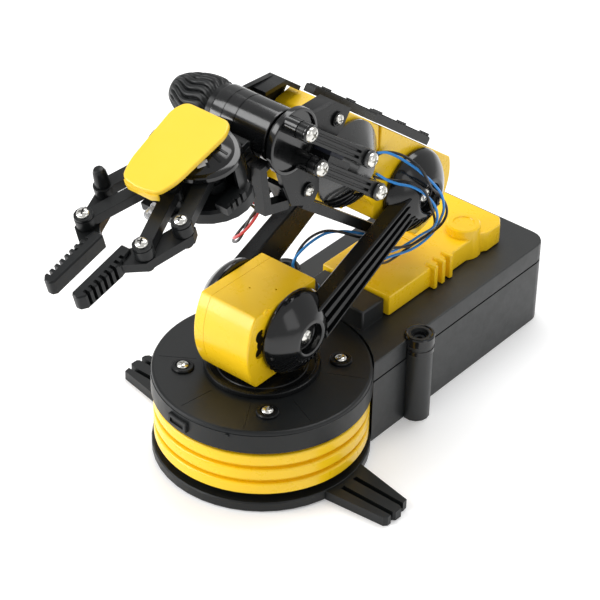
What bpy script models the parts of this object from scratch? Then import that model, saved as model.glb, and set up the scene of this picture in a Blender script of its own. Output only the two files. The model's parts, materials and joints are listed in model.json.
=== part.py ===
"""Geared-motor robot arm kit: a round turntable base joined to a battery box, a shoulder, an elbow, a wrist
and a two-finger gripper. Lengths are in millimetres and become metres when a mesh is made.

World frame: the origin is on the turntable's axis at the underside, +Z up, +Y back along the battery box,
and the arm points to -Y. Each moving group hangs from an empty on its own joint's axis. In a group's frame
+X is lateral, -Y points along the limb and +Z is square to it."""

import math

import bmesh
import bpy
from mathutils import Matrix, Vector

MM = 0.001
GAP = 0.3                     # clearance between touching pieces
ROUND = 44                    # sides of the large round housing

# Base
DISC_RADIUS = 52.4            # round housing and its foot plate
BASE_TOP = 46.5               # top of the round housing and of the box lid
BAND_BOTTOM = 34.4            # lower edge of the black housing band
FOOT_PLATE_TOP = 5.3
RING_COUNT = 3                # yellow rings between foot plate and band
RING_RADIUS = 51.3
RINGS_BOTTOM = 9.4
CLIP_ANGLE = 266.0            # where the housing band's clip sits, in plan
CORE_RADIUS = 46.6
BOX_HALF_WIDTH = 39.7
BOX_BACK = 176.2
BOX_CORNER = 9.0
LID_SEAM = 35.3
WALL = 2.2
FOOT_REACH = 84.0             # tip of an outrigger foot from the turntable axis
CELL_RADIUS = 17.0            # D cell
CELL_LENGTH = 59.8
CHORD_Y = 50.0                # the round foot plate stops here, where the battery box begins
POST_XY = (42.0, 66.5)        # screw post beside the box

# Turntable
RIM_RADIUS = 27.5
RIM_TOP = 49.3
NECK_RADIUS = 22.0

# Arm
ARM_X = -2.5                  # the arm's middle plane
HOUSING_HALF_WIDTH = 16.5
SHOULDER_YZ = (3.3, 72.0)
ELBOW_YZ = (89.8, 107.0)
FOREARM_PITCH = 37.4          # degrees above level, towards the front
ELBOW_TO_WRIST_GEARBOX = 63.8
GEARBOX_TO_WRIST = 54.4
GRIPPER_PITCH = -16.0
HUB_RADIUS = 21.0
HUB_RIM_X = 18.5              # hub rim, from the arm's middle plane
HUB_FACE_X = 29.4
BEAM_INNER_X = 19.4
BEAM_OUTER_X = 27.8
RECESS_RADIUS = 7.6

# Wrist
DRUM_RADIUS = 12.6
FLANGE_RADIUS = 15.6
FLANGE_FACE_X = 23.0
CAP_END_X = -44.5
CRANK = 11.2                  # half the distance between the two posts of the wrist linkage
CRANK_ANGLE = 110.4           # degrees from +Y towards +Z
BAR_INNER_X = 29.8
BAR_OUTER_X = 33.6

# Gripper, in its own frame: U forward from the wrist axis, V square to it, X from the gripper's middle plane
GRIPPER_X = -6.0
GEAR_PIVOT_U = 36.5
GEAR_PIVOT_X = 10.9           # half the distance between the meshed sectors' axes
LINK_LENGTH = 34.0
LINK_ANGLE = 20.0             # degrees outwards at rest
REAR_KNUCKLE_SETBACK = 18.5
REAR_KNUCKLE_OFFSET = 5.7

YELLOW = (0.93, 0.62, 0.02, 1)
BLACK = (0.016, 0.017, 0.019, 1)
DARK = (0.03, 0.032, 0.036, 1)
STEEL = (0.62, 0.62, 0.60, 1)


# ---------------------------------------------------------------- materials

def material(name, colour, roughness, metallic=0.0):
    found = bpy.data.materials.get(name)
    if found:
        return found
    made = bpy.data.materials.new(name)
    made.use_nodes = True
    shader = made.node_tree.nodes["Principled BSDF"]
    shader.inputs["Base Color"].default_value = colour
    shader.inputs["Roughness"].default_value = roughness
    shader.inputs["Metallic"].default_value = metallic
    made.diffuse_color = colour
    return made


MATERIALS = {
    "yellow": ("yellow_plastic", YELLOW, 0.28),
    "black": ("black_plastic", BLACK, 0.34),
    "dark": ("matte_black_plastic", DARK, 0.55),
    "steel": ("zinc_steel", STEEL, 0.25, 1.0),
    "board": ("circuit_board", (0.03, 0.16, 0.07, 1), 0.45),
    "gear": ("white_nylon", (0.85, 0.84, 0.80, 1), 0.4),
    "cell": ("cell_jacket", (0.10, 0.11, 0.12, 1), 0.35),
    "blue": ("blue_lead", (0.02, 0.16, 0.45, 1), 0.4),
    "red": ("red_lead", (0.5, 0.02, 0.02, 1), 0.4),
    "lamp": ("clear_lamp", (0.75, 0.76, 0.78, 1), 0.1),
}


# ---------------------------------------------------------------- mesh helpers

def make_object(name, mesh, finish=None, parent=None):
    obj = bpy.data.objects.new(name, mesh)
    bpy.context.scene.collection.objects.link(obj)
    if finish:
        mesh.materials.clear()
        mesh.materials.append(material(*MATERIALS[finish]))
    if parent:
        obj.parent = parent
    mesh.shade_smooth()
    mesh.set_sharp_from_angle(angle=math.radians(32))
    return obj


def mesh_from(vertices, faces):
    mesh = bpy.data.meshes.new("shape")
    mesh.from_pydata([tuple(c * MM for c in v) for v in vertices], [], faces)
    bm = bmesh.new()
    bm.from_mesh(mesh)
    bmesh.ops.recalc_face_normals(bm, faces=bm.faces)
    bm.to_mesh(mesh)
    bm.free()
    return mesh


AXES = {"x": (1, 2, 0), "y": (0, 2, 1), "z": (0, 1, 2)}


def placed(first, second, along, axis):
    point = [0.0, 0.0, 0.0]
    for value, index in zip((first, second, along), AXES[axis]):
        point[index] = value
    return tuple(point)


def prism(outline, low, high, axis="x"):
    """A solid with this outline, between two planes square to the axis. The outline's two coordinates are the
    other two axes in X, Y, Z order."""
    count = len(outline)
    vertices = [placed(a, b, level, axis) for level in (low, high) for a, b in outline]
    faces = [tuple(range(count)), tuple(range(2 * count - 1, count - 1, -1))]
    faces += [(i, (i + 1) % count, count + (i + 1) % count, count + i) for i in range(count)]
    return make_object("shape", mesh_from(vertices, faces))


def block(low, high):
    (x0, y0, z0), (x1, y1, z1) = low, high
    return prism([(x0, y0), (x1, y0), (x1, y1), (x0, y1)], z0, z1, "z")


def turned(profile, axis="x", centre=(0.0, 0.0), sides=40):
    """A solid of revolution from (along, radius) points. Where the radius is 0 the point is on the axis. A
    profile that doesn't start and end on the axis is a ring, closed on itself."""
    vertices, rings = [], []
    for along, radius in profile:
        if radius == 0:
            vertices.append(placed(centre[0], centre[1], along, axis))
            rings.append([len(vertices) - 1])
            continue
        start = len(vertices)
        for step in range(sides):
            angle = 2 * math.pi * step / sides
            a = centre[0] + radius * math.cos(angle)
            b = centre[1] + radius * math.sin(angle)
            vertices.append(placed(a, b, along, axis))
        rings.append(list(range(start, start + sides)))
    pairs = list(zip(rings, rings[1:]))
    if len(rings[0]) > 1:
        pairs.append((rings[-1], rings[0]))
    faces = []
    for first, second in pairs:
        for step in range(sides):
            after = (step + 1) % sides
            if len(first) == 1:
                faces.append((first[0], second[step], second[after]))
            elif len(second) == 1:
                faces.append((first[step], first[after], second[0]))
            else:
                faces.append((first[step], first[after], second[after], second[step]))
    return make_object("shape", mesh_from(vertices, faces))


def cylinder(centre, radius, low, high, axis="x", sides=32):
    return turned([(low, 0), (low, radius), (high, radius), (high, 0)], axis, centre, sides)


def combine(base, others, operation):
    for other in others:
        modifier = base.modifiers.new(operation.lower(), "BOOLEAN")
        modifier.operation = operation
        modifier.solver = "EXACT"
        modifier.object = other
        bpy.context.view_layer.update()
        graph = bpy.context.evaluated_depsgraph_get()
        mesh = bpy.data.meshes.new_from_object(base.evaluated_get(graph))
        base.modifiers.clear()
        base.data = mesh
        bpy.data.objects.remove(other)
    return base


def join(base, *others):
    return combine(base, others, "UNION")


def cut(base, *others):
    return combine(base, others, "DIFFERENCE")


def soften(obj, width=0.8, segments=2, angle=35):
    """Rounds the edges sharper than the angle."""
    modifier = obj.modifiers.new("rounding", "BEVEL")
    modifier.width = width * MM
    modifier.segments = segments
    modifier.limit_method = "ANGLE"
    modifier.angle_limit = math.radians(angle)
    modifier.use_clamp_overlap = True
    bpy.context.view_layer.update()
    graph = bpy.context.evaluated_depsgraph_get()
    mesh = bpy.data.meshes.new_from_object(obj.evaluated_get(graph))
    obj.modifiers.clear()
    obj.data = mesh
    return obj


def finish(obj, name, look, parent=None):
    obj.name = name
    obj.data.name = name
    obj.data.materials.clear()
    obj.data.materials.append(material(*MATERIALS[look]))
    obj.data.shade_smooth()
    obj.data.set_sharp_from_angle(angle=math.radians(32))
    obj.parent = parent
    return obj


def axis_empty(name, x, y, z, pitch=0.0, parent=None):
    """An empty on a joint's axis. A pitch above 0 raises the limb's front."""
    empty = bpy.data.objects.new(name, None)
    bpy.context.scene.collection.objects.link(empty)
    local = Matrix.Translation(Vector((x, y, z)) * MM) @ Matrix.Rotation(math.radians(-pitch), 4, "X")
    if parent:
        bpy.context.view_layer.update()
        local = parent.matrix_world.inverted() @ local
    empty.parent = parent
    empty.matrix_local = local
    bpy.context.view_layer.update()
    return empty


def arc(centre, radius, start, end, count):
    """Points on an arc, angles in degrees, both ends kept."""
    steps = [math.radians(start + (end - start) * i / count) for i in range(count + 1)]
    return [(centre[0] + radius * math.cos(a), centre[1] + radius * math.sin(a)) for a in steps]


def rounded_box(x0, y0, x1, y1, radius, count=5):
    return (arc((x1 - radius, y1 - radius), radius, 0, 90, count)
            + arc((x0 + radius, y1 - radius), radius, 90, 180, count)
            + arc((x0 + radius, y0 + radius), radius, 180, 270, count)
            + arc((x1 - radius, y0 + radius), radius, 270, 360, count))


def inset_outline(outline, distance):
    """The outline with each side moved inwards by the distance."""
    count = len(outline)
    area = sum(outline[i - 1][0] * outline[i][1] - outline[i][0] * outline[i - 1][1] for i in range(count))
    sign = 1 if area > 0 else -1
    lines = []
    for i in range(count):
        (x0, y0), (x1, y1) = outline[i], outline[(i + 1) % count]
        length = math.hypot(x1 - x0, y1 - y0)
        nx, ny = -sign * (y1 - y0) / length, sign * (x1 - x0) / length
        lines.append((nx, ny, nx * x0 + ny * y0 + distance))
    points = []
    for i in range(count):
        a, b = lines[i - 1], lines[i]
        det = a[0] * b[1] - a[1] * b[0]
        if abs(det) < 1e-6:
            points.append((outline[i][0] + b[0] * distance, outline[i][1] + b[1] * distance))
            continue
        points.append(((a[2] * b[1] - b[2] * a[1]) / det, (a[0] * b[2] - b[0] * a[2]) / det))
    return points


def clear_scene():
    for obj in list(bpy.data.objects):
        bpy.data.objects.remove(obj)


# ---------------------------------------------------------------- base

def box_outline(inset=0.0):
    """The battery box in plan: square in front, where the round housing's curve is cut out of it."""
    half = BOX_HALF_WIDTH - inset
    back = BOX_BACK - inset
    corner = BOX_CORNER - inset
    return ([(-half, 25 + inset), (half, 25 + inset)] + arc((half - corner, back - corner), corner, 0, 90,
                                                            5)
            + arc((corner - half, back - corner), corner, 90, 180, 5))


def foot_arm():
    """One outrigger foot towards +X, with two grooves that leave three prongs."""
    arm = prism([(40, -14), (50, -13), (FOOT_REACH - 1.5, -10.2), (FOOT_REACH, -8.5), (FOOT_REACH, -6.2),
                 (FOOT_REACH - 1.6, -4.8), (FOOT_REACH + 0.4, -3.2), (FOOT_REACH + 0.6, 0.6),
                 (FOOT_REACH - 1.8, 2.2), (FOOT_REACH - 1.0, 4.0), (FOOT_REACH - 1.4, 7.2), (50, 13.5),
                 (40, 14)],
                0, 5.0, "z")
    for near, far in ((-5.6, -5.2), (3.4, 2.8)):
        arm = cut(arm, prism([(54.5, near - 1.3), (FOOT_REACH + 3, far - 1.1), (FOOT_REACH + 3, far + 1.1),
                              (54.5, near + 1.3)], 1.8, 9, "z"))
    return arm


def foot_plate():
    core_top = BAND_BOTTOM - GAP
    plate = turned([(0, 0), (0, DISC_RADIUS - 0.6), (0.6, DISC_RADIUS), (FOOT_PLATE_TOP - 0.6, DISC_RADIUS),
                    (FOOT_PLATE_TOP, DISC_RADIUS - 0.6), (FOOT_PLATE_TOP, CORE_RADIUS),
                    (core_top, CORE_RADIUS),
                    (core_top, CORE_RADIUS - WALL), (2.5, CORE_RADIUS - WALL), (2.5, 0)], "z", sides=ROUND)
    right = foot_arm()
    left = foot_arm()
    left.matrix_world = Matrix.Rotation(math.pi, 4, "Z")
    plate = join(plate, right, left)
    plate = cut(plate, block((-36.3, CHORD_Y, -3), (36.3, 60, 5.9)))
    return finish(plate, "foot_plate", "black")


def yellow_rings():
    height = (BAND_BOTTOM - RINGS_BOTTOM) / RING_COUNT
    inner = CORE_RADIUS + GAP
    for index in range(RING_COUNT):
        low = RINGS_BOTTOM + index * height + GAP / 2
        high = RINGS_BOTTOM + (index + 1) * height - GAP / 2
        ring = turned([(low, inner), (low, RING_RADIUS - 1.5), (low + 1.7, RING_RADIUS),
                       (high - 1.7, RING_RADIUS),
                       (high, RING_RADIUS - 1.5), (high, inner)], "z", sides=ROUND)
        ring = cut(ring, block((-36.3, 30, 0), (36.3, 60, 50)))
        finish(ring, "yellow_ring_%d" % (index + 1), "yellow")


def top_housing():
    inner = DISC_RADIUS - WALL
    hole = NECK_RADIUS + 0.4
    under = BASE_TOP - 2.6
    housing = turned([(BAND_BOTTOM, inner), (BAND_BOTTOM, DISC_RADIUS - 0.4),
                      (BAND_BOTTOM + 0.4, DISC_RADIUS),
                      (BASE_TOP - 1.0, DISC_RADIUS), (BASE_TOP, DISC_RADIUS - 1.0), (BASE_TOP, hole),
                      (under, hole), (under, inner)], "z", sides=ROUND)
    for x in (-26, 26):
        for y in (-26.5, 26.5):
            screw = turned([(BASE_TOP - 1, 0), (BASE_TOP - 1, 5.4), (BASE_TOP + 1.4, 5.2),
                            (BASE_TOP + 1.4, 3.2),
                            (BASE_TOP + 2.7, 2.0), (BASE_TOP + 2.9, 0)], "z", (x, y), 10)
            housing = join(housing, screw)
    clip = block((DISC_RADIUS - 1.2, -6.5, 37.8), (DISC_RADIUS + 1.1, 6.5, 42.2))
    clip.matrix_world = Matrix.Rotation(math.radians(CLIP_ANGLE), 4, "Z")
    housing = join(housing, clip)
    return finish(housing, "top_housing", "black")


def screw_post(side):
    x, y = side * POST_XY[0], POST_XY[1]
    top = BASE_TOP
    return turned([(0, 0), (0, 6.9), (top - 7.3, 6.9), (top - 7.0, 6.5), (top - 6.7, 6.9), (top - 2.8, 7.2),
                   (top + 0.8, 7.2), (top + 1.6, 6.5), (top + 1.6, 4.4), (top - 1.4, 3.6), (top - 1.4, 1.6),
                   (top - 7.0, 1.6), (top - 7.0, 0)], "z", (x, y), 14)


def battery_box():
    """The box for the cells. In front it closes the flat side of the round housing."""
    body = prism(box_outline(), 0, LID_SEAM, "z")
    body = cut(body, cylinder((0, 0), DISC_RADIUS + GAP, -5, 70, "z", ROUND))
    body = join(body, block((-36.0, CHORD_Y + GAP, 0), (36.0, 56, BAND_BOTTOM - GAP)))
    for side in (-1, 1):
        body = join(body, screw_post(side))
    body = cut(body, block((-35.2, CHORD_Y + 1.5, 2.2), (35.2, 60, LID_SEAM + 5)))
    inside = [(-35.2, 54), (35.2, 54), (37.5, 62)] + [p for p in box_outline(WALL) if p[1] > 60]
    inside.append((-37.5, 62))
    body = cut(body, prism(inside, 2.2, LID_SEAM + 5, "z"))
    body = cut(body, block((-35.6, 56, -3), (35.6, 168, 8)))
    return finish(body, "battery_box", "black")


def box_lid():
    lid = prism(box_outline(), LID_SEAM + GAP, BASE_TOP, "z")
    lid = soften(lid, 0.9, 2, 60)
    inside = prism(box_outline(WALL), LID_SEAM - 4, BASE_TOP - 2.2, "z")
    lid = cut(lid, inside)
    for side in (-1, 1):
        lid = cut(lid, cylinder((side * POST_XY[0], POST_XY[1]), 7.2 + GAP, 20, 60, "z", 24))
    nose = block((-18.5, 51.5, BASE_TOP - 1), (19.0, 68.0, BASE_TOP + 10.5))
    nose = soften(nose, 0.8, 1)
    lid = join(lid, nose)
    lid = cut(lid, block((-16, 54, BASE_TOP - 6), (16.5, 66, BASE_TOP + 8.5)))
    bore = cylinder((0, 0), DISC_RADIUS + GAP, -5, 70, "z", ROUND)
    lid = cut(lid, bore)
    return finish(lid, "box_lid", "black")


def battery_bay():
    door = prism(rounded_box(-35.2, 56.4, 35.2, 167.6, 2.0, 2), 0, 2.0, "z")
    for index in range(6):
        y = 75 + index * 4.0
        door = cut(door, block((-12, y, -1), (12, y + 1.6, 0.6)))
    finish(door, "battery_door", "black")
    front = CHORD_Y + 1.8
    number = 0
    for x, sign in ((-17.6, 1), (17.6, -1)):
        for place in range(2):
            number += 1
            low = front + 0.9 + place * (CELL_LENGTH + GAP)
            high = low + CELL_LENGTH
            profile = [(0, 0), (0, 16.0), (0.8, CELL_RADIUS), (CELL_LENGTH - 2.4, CELL_RADIUS),
                       (CELL_LENGTH - 1.6, 16.0), (CELL_LENGTH - 1.6, 4.7), (CELL_LENGTH, 4.5),
                       (CELL_LENGTH, 0)]
            if sign > 0:
                profile = [(low + a, r) for a, r in profile]
            else:
                profile = [(high - a, r) for a, r in profile]
            cell = turned(profile, "y", (x, 2.5 + CELL_RADIUS), 14)
            finish(cell, "battery_cell_%d" % number, "cell")
    rear = front + 0.9 + 2 * (CELL_LENGTH + GAP)
    for name, y in (("front_contact", front), ("rear_contact", rear)):
        plate = block((-33, y, 5), (33, y + 0.6, 32))
        finish(plate, name, "steel")


def control_unit():
    """The yellow cover over the controller board, on the lid behind the raised nose."""
    z0 = BASE_TOP + GAP
    outline = [(-20.5, 68.6), (21.5, 68.6), (21.5, 141.0), (24.0, 145.0), (24.0, 155.0), (20.0, 160.5),
               (-18.0, 160.5), (-20.5, 158.0)]
    cover = prism(outline, z0, BASE_TOP + 12.2, "z")
    cover = soften(cover, 1.2, 2, 40)
    for index in range(3):
        y = 101.0 + 6.2 * index
        fin = block((17.5, y, z0), (24.4, y + 2.6, BASE_TOP + 13.6))
        cover = join(cover, soften(fin, 0.5, 1))
    cover = join(cover, turned([(z0, 0), (z0, 9.6), (BASE_TOP + 16.2, 8.6), (BASE_TOP + 17.0, 7.8),
                                (BASE_TOP + 17.0, 5.6), (BASE_TOP + 16.2, 5.2), (BASE_TOP + 16.2, 0)],
                               "z", (13.5, 138.0), 20))
    hollow = block((-18.3, 71, z0 - 2), (19.3, 132, BASE_TOP + 10.0))
    cover = cut(cover, hollow)
    finish(cover, "control_cover", "yellow")
    board = block((-16, 74, BASE_TOP + 3.0), (17, 126, BASE_TOP + 4.6))
    for low, high in (((-12, 80, 0), (-2, 90, 2.6)), ((4, 82, 0), (12, 104, 3.2)),
                      ((-10, 104, 0), (-2, 118, 2.2))):
        chip = block((low[0], low[1], BASE_TOP + 4.2), (high[0], high[1], BASE_TOP + 4.6 + high[2]))
        board = join(board, chip)
    finish(board, "control_board", "board")


def gear_outline(teeth, module, phase=0.0, clearance=0.12):
    """A gear's outline, with straight-sided teeth a little slimmer than their gaps."""
    pitch_radius = teeth * module / 2
    outer = pitch_radius + 0.85 * module
    root = pitch_radius - 1.1 * module
    points = []
    half_root = (0.5 * math.pi / teeth) * (1.32 - clearance)
    half_tip = (0.5 * math.pi / teeth) * (0.52 - clearance)
    for tooth in range(teeth):
        middle = 2 * math.pi * tooth / teeth + phase
        for radius, offset in ((root, -half_root), (outer, -half_tip), (outer, half_tip),
                               (root, half_root)):
            points.append((radius * math.cos(middle + offset), radius * math.sin(middle + offset)))
    return points


TURN_GEAR_TEETH = 30
TURN_PINION_TEETH = 10
TURN_MODULE = 1.68


def base_drive():
    """The turning motor on the foot plate, and its pinion in mesh with the turntable's gear."""
    distance = TURN_MODULE * (TURN_GEAR_TEETH + TURN_PINION_TEETH) / 2
    motor = prism(rounded_box(-10.2, -distance - 7.6, 10.2, -distance + 7.6, 6.0, 4), 2.8, 28.0, "z")
    motor = join(motor, cylinder((0, -distance), 2.9, 27, 29.6, "z", 16))
    finish(motor, "base_motor", "steel")
    axis = axis_empty("base_pinion_axis", 0, -distance, 0)
    phase = math.pi / 2 + math.pi / TURN_PINION_TEETH
    pinion = prism(gear_outline(TURN_PINION_TEETH, TURN_MODULE, phase), 30.2, 36.0, "z")
    finish(pinion, "base_pinion", "gear", axis)


# ---------------------------------------------------------------- turntable and shoulder

def turntable(parent):
    table = turned([(BASE_TOP + GAP, NECK_RADIUS), (BASE_TOP + GAP, RIM_RADIUS),
                    (RIM_TOP - 0.7, RIM_RADIUS),
                    (RIM_TOP, RIM_RADIUS - 0.7), (RIM_TOP, RIM_RADIUS - 2.2),
                    (RIM_TOP - 0.9, RIM_RADIUS - 2.6),
                    (RIM_TOP - 0.9, 6.0), (30.0, 6.0), (30.0, NECK_RADIUS - 3), (36.0, NECK_RADIUS - 3),
                    (36.0, NECK_RADIUS)], "z", sides=36)
    gear = prism(gear_outline(TURN_GEAR_TEETH, TURN_MODULE, -math.pi / 2), 30.2, 35.8, "z")
    gear = cut(gear, cylinder((0, 0), 12.0, 20, 40, "z", 24))
    table = join(table, gear)
    return finish(table, "turntable", "black", parent)


def gearbox_outline():
    """A gearbox shell from the side: U towards its rounded nose, V up, its output axis at 0, 0."""
    nose = arc((-6.0, -0.6), 36.0, 32.5, -34.5, 8)
    return [(-18.0, -20.8)] + [(-18.0, 18.6)] + nose


def half_shell(side, outline, openings=()):
    """One half of a gearbox: a cup with 1.8 mm walls, open at the seam on the middle plane."""
    face = side * HOUSING_HALF_WIDTH
    low, high = sorted((side * GAP / 2, face))
    shell = prism(outline, low, high, "x")
    inner_low, inner_high = sorted((-side * 3.0, face - side * 1.8))
    shell = cut(shell, prism(inset_outline(outline, 1.8), inner_low, inner_high, "x"))
    low, high = sorted((side * 10, side * 22))
    for (y, z), radius in (((0, 0), 3.4),) + tuple(openings):
        shell = cut(shell, cylinder((y, z), radius, low, high, "x", 20))
    return shell


def to_local(outline, flip=False):
    """(U, V) points as the group's (Y, Z): U runs towards -Y."""
    sign = 1 if flip else -1
    return [(sign * u, v) for u, v in outline]


def shaft(name, parent, x_mid=0.0):
    """The output shaft through a gearbox, which holds both hubs."""
    rod = cylinder((0, 0), 2.5, x_mid - 26.0, x_mid + 26.0, "x", 12)
    rod = join(rod, prism(gear_outline(12, 1.25), x_mid - 3.0, x_mid + 3.0, "x"))
    return finish(rod, name, "steel", parent)


def motor_can(name, parent, centre, low, high):
    """A small flat-sided motor lying across a gearbox, with its worm."""
    y, z = centre
    can = prism(rounded_box(y - 6.6, z - 6.0, y + 6.6, z + 6.0, 5.0, 3), low, high, "x")
    can = join(can, cylinder((y, z), 1.0, high - 0.5, high + 5.0, "x", 12))
    return finish(can, name, "steel", parent)


def shoulder(parent):
    outline = to_local(gearbox_outline())
    for side, name in ((1, "shoulder_housing_right"), (-1, "shoulder_housing_left")):
        shell = half_shell(side, outline, (((-20.5, -4.5), 4.2),))
        finish(shell, name, "yellow", parent)
    motor_can("shoulder_motor", parent, (-16.5, 7.0), -13.0, 6.0)


# ---------------------------------------------------------------- upper arm

def dome_profile(side, inner, grow=0.0):
    """(along, radius) points of a hub's domed outside, from its flat back to its face."""
    profile = [(inner, HUB_RADIUS - 1.2 + grow), (inner + 0.8, HUB_RADIUS + grow),
               (HUB_RIM_X, HUB_RADIUS + grow)]
    depth = HUB_FACE_X - HUB_RIM_X
    for share, radius in ((0.27, 19.8), (0.58, 16.6), (0.84, 12.8), (1.0, 9.4)):
        profile.append((HUB_RIM_X + depth * share + grow * share, radius + grow))
    return [(side * a, r) for a, r in profile]


def hub(side, name, parent):
    """The domed hub on a gearbox's output: a disc with a rounded face and a screw recess."""
    inner = HOUSING_HALF_WIDTH + GAP
    profile = [(side * inner, 2.9)] + dome_profile(side, inner)
    profile += [(side * HUB_FACE_X, RECESS_RADIUS),
                (side * (HUB_FACE_X - 4.5), RECESS_RADIUS - 0.6), (side * (HUB_FACE_X - 4.5), 2.9)]
    return finish(turned(profile, "x", (0, 0), 22), name, "black", parent)


def beam(side, name, parent, length):
    """A tapered channel between two hubs, with three long grooves in its outer face."""
    low, high = sorted((side * BEAM_INNER_X, side * BEAM_OUTER_X))
    outline = [(9.0, -12.4), (9.0, 8.4), (length - 9.0, 9.6), (length - 9.0, -4.4)]
    body = soften(prism(outline, low, high, "x"), 0.7, 1, 60)
    for index in range(3):
        share = (index + 0.5) / 3
        start = (11.0, 7.9 - 19.8 * share)
        end = (length - 11.0, 9.0 - 12.8 * share)
        groove = [(start[0], start[1] - 1.9), (start[0], start[1] + 1.9), (end[0], end[1] + 1.25),
                  (end[0], end[1] - 1.25)]
        lo, hi = sorted((side * (BEAM_OUTER_X - 2.8), side * (BEAM_OUTER_X + 2)))
        body = cut(body, prism(groove, lo, hi, "x"))
    for y in (0.0, length):
        dome = dome_profile(side, BEAM_INNER_X - 3, GAP)
        body = cut(body, turned([(dome[0][0], 0)] + dome + [(dome[-1][0], 0)], "x", (y, 0), 22))
        lo, hi = sorted((side * (BEAM_INNER_X - 2), side * (BEAM_OUTER_X + 3)))
        body = cut(body, cylinder((y, 0), 9.6, lo, hi, "x", 32))
    return finish(body, name, "black", parent)


def upper_arm(parent, length):
    for side, word in ((1, "right"), (-1, "left")):
        beam(side, "upper_arm_beam_%s" % word, parent, length)
        hub(side, "shoulder_hub_%s" % word, parent)
        elbow_hub = hub(side, "elbow_hub_%s" % word, parent)
        elbow_hub.location.y = length * MM
    shaft("shoulder_shaft", parent)
    shaft("elbow_shaft", parent).location.y = length * MM


# ---------------------------------------------------------------- forearm

W_U = ELBOW_TO_WRIST_GEARBOX
F_U = ELBOW_TO_WRIST_GEARBOX + GEARBOX_TO_WRIST
BRACKET_INNER_X = HOUSING_HALF_WIDTH + GAP
BRACKET_OUTER_X = 19.5


def moved(outline, du, dv=0.0):
    return [(u + du, v + dv) for u, v in outline]


def elbow_gearbox_outline():
    """The elbow gearbox from the side, U forward, its axis at 0, 0. It reaches forward to the wrist's."""
    nose = arc((-8.2, 0.9), 26.0, 127.5, 232, 10)
    return nose + [(20.0, -19.8), (24.0, -14.0), (36.0, -11.0), (38.6, 0.0), (39.2, 11.5), (46.0, 21.5)]


def wrist_gearbox_outline():
    """The wrist gearbox from the side, about its own axis."""
    return [(15.7, 21.4), (-15.2, 21.4), (-23.5, 11.7), (-16.0, -20.6), (10.2, -20.8), (20.0, -12.0),
            (25.0, 0.0), (22.5, 14.0)]


def bracket_outline():
    """A wrist bracket's side plate, about the wrist gearbox's axis, round-ended about the wrist's own."""
    return ([(14.5, -21.4), (30.0, -27.0), (44.0, -19.0)] + arc((GEARBOX_TO_WRIST, 0), 11.6, -85, 115, 14)
            + [(30.4, 23.2), (17.8, 23.2), (17.2, 10.0)])


def wrist_bracket(side, name, parent):
    low, high = sorted((side * BRACKET_INNER_X, side * BRACKET_OUTER_X))
    plate = prism(to_local(moved(bracket_outline(), W_U)), low, high, "x")
    low, high = sorted((side * 9.5, side * (BRACKET_OUTER_X - 0.4)))
    top_web = [(17.8, 21.0), (17.8, 23.2), (30.4, 23.2), (42.0, 14.2), (40.6, 12.6), (29.6, 21.0)]
    bottom_web = [(14.5, -23.4), (14.5, -21.4), (29.5, -24.4), (41.0, -18.9), (42.0, -21.0), (30.0, -27.0)]
    for web in (top_web, bottom_web):
        plate = join(plate, prism(to_local(moved(web, W_U)), low, high, "x"))
    strap = [(30.5, -28.6), (45.4, -35.2), (63.8, -17.0), (56.6, -9.6), (52.8, -9.6), (58.8, -16.6),
             (44.8, -29.4), (32.4, -24.4)]
    if side > 0:
        strap = prism(to_local(moved(strap, W_U)), 13.0, 18.9, "x")
        strap = cut(strap, cylinder((-F_U, 0), DRUM_RADIUS + 0.6, 5, BRACKET_INNER_X - 0.1, "x", 36))
        plate = join(plate, strap)
    low, high = sorted((side * 10.5, side * 16.5))
    rail = prism(to_local([(11.0, -26.6), (11.0, -21.8), (W_U + 16.5, -21.8), (W_U + 16.5, -26.6)]), low,
                 high, "x")
    plate = join(plate, rail)
    low, high = sorted((side * 12, side * 24))
    plate = cut(plate, cylinder((-W_U, 0), HUB_RADIUS + 0.5, low, high, "x", 48))
    plate = cut(plate, cylinder((-F_U, 0), 8.3, low, high, "x", 32))
    for u, v in ((24.9, 16.3), (23.6, -17.6)):
        boss_low, boss_high = sorted((side * (BRACKET_OUTER_X - 0.8), side * (BRACKET_OUTER_X + 1.0)))
        boss = cylinder((-(W_U + u), v), 3.6, boss_low, boss_high, "x", 16)
        plate = join(plate, boss)
    if side > 0:
        foot = block((BRACKET_OUTER_X - 0.5, -(W_U + 34.0), -6.0), (29.7, -(W_U + 22.4), 0.6))
        arm = block((28.7, -(W_U + 24.0), -6.0), (29.7, -(W_U + 15.6), 0.6))
        plate = join(plate, join(foot, arm))
    return finish(plate, name, "black", parent)


def top_rail(side, name, parent, start, end):
    low, high = sorted((side * 10.5, side * 16.5))
    rail = prism(to_local([(start, 21.9), (start, 25.2), (start + 1.0, 26.0), (end - 1.0, 26.0),
                           (end, 25.2),
                           (end, 21.9)]), low, high, "x")
    u = start + 6.0
    while u < end - 8.0:
        rail = cut(rail, block((low + 1.6, -(u + 5.0), 24.4), (high - 1.6, -u, 30)))
        u += 7.4
    return finish(rail, name, "black", parent)


def crank_post(centre, base_x, shoulder_x, sides=12):
    """A post of the wrist linkage, with the pin that a bar turns on and the pin's head."""
    return turned([(base_x, 0), (base_x, 4.2), (shoulder_x, 4.2), (shoulder_x, 2.0),
                   (BAR_OUTER_X + GAP, 2.0),
                   (BAR_OUTER_X + GAP, 4.2), (BAR_OUTER_X + 1.9, 3.2),
                   (BAR_OUTER_X + 1.9, 0)], "x", centre, sides)


def crank_offset(pitch):
    """Half the crank, from the hub's axis to its upper post, in a frame pitched up by the angle."""
    angle = math.radians(CRANK_ANGLE + pitch)
    return CRANK * math.cos(angle), CRANK * math.sin(angle)


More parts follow.
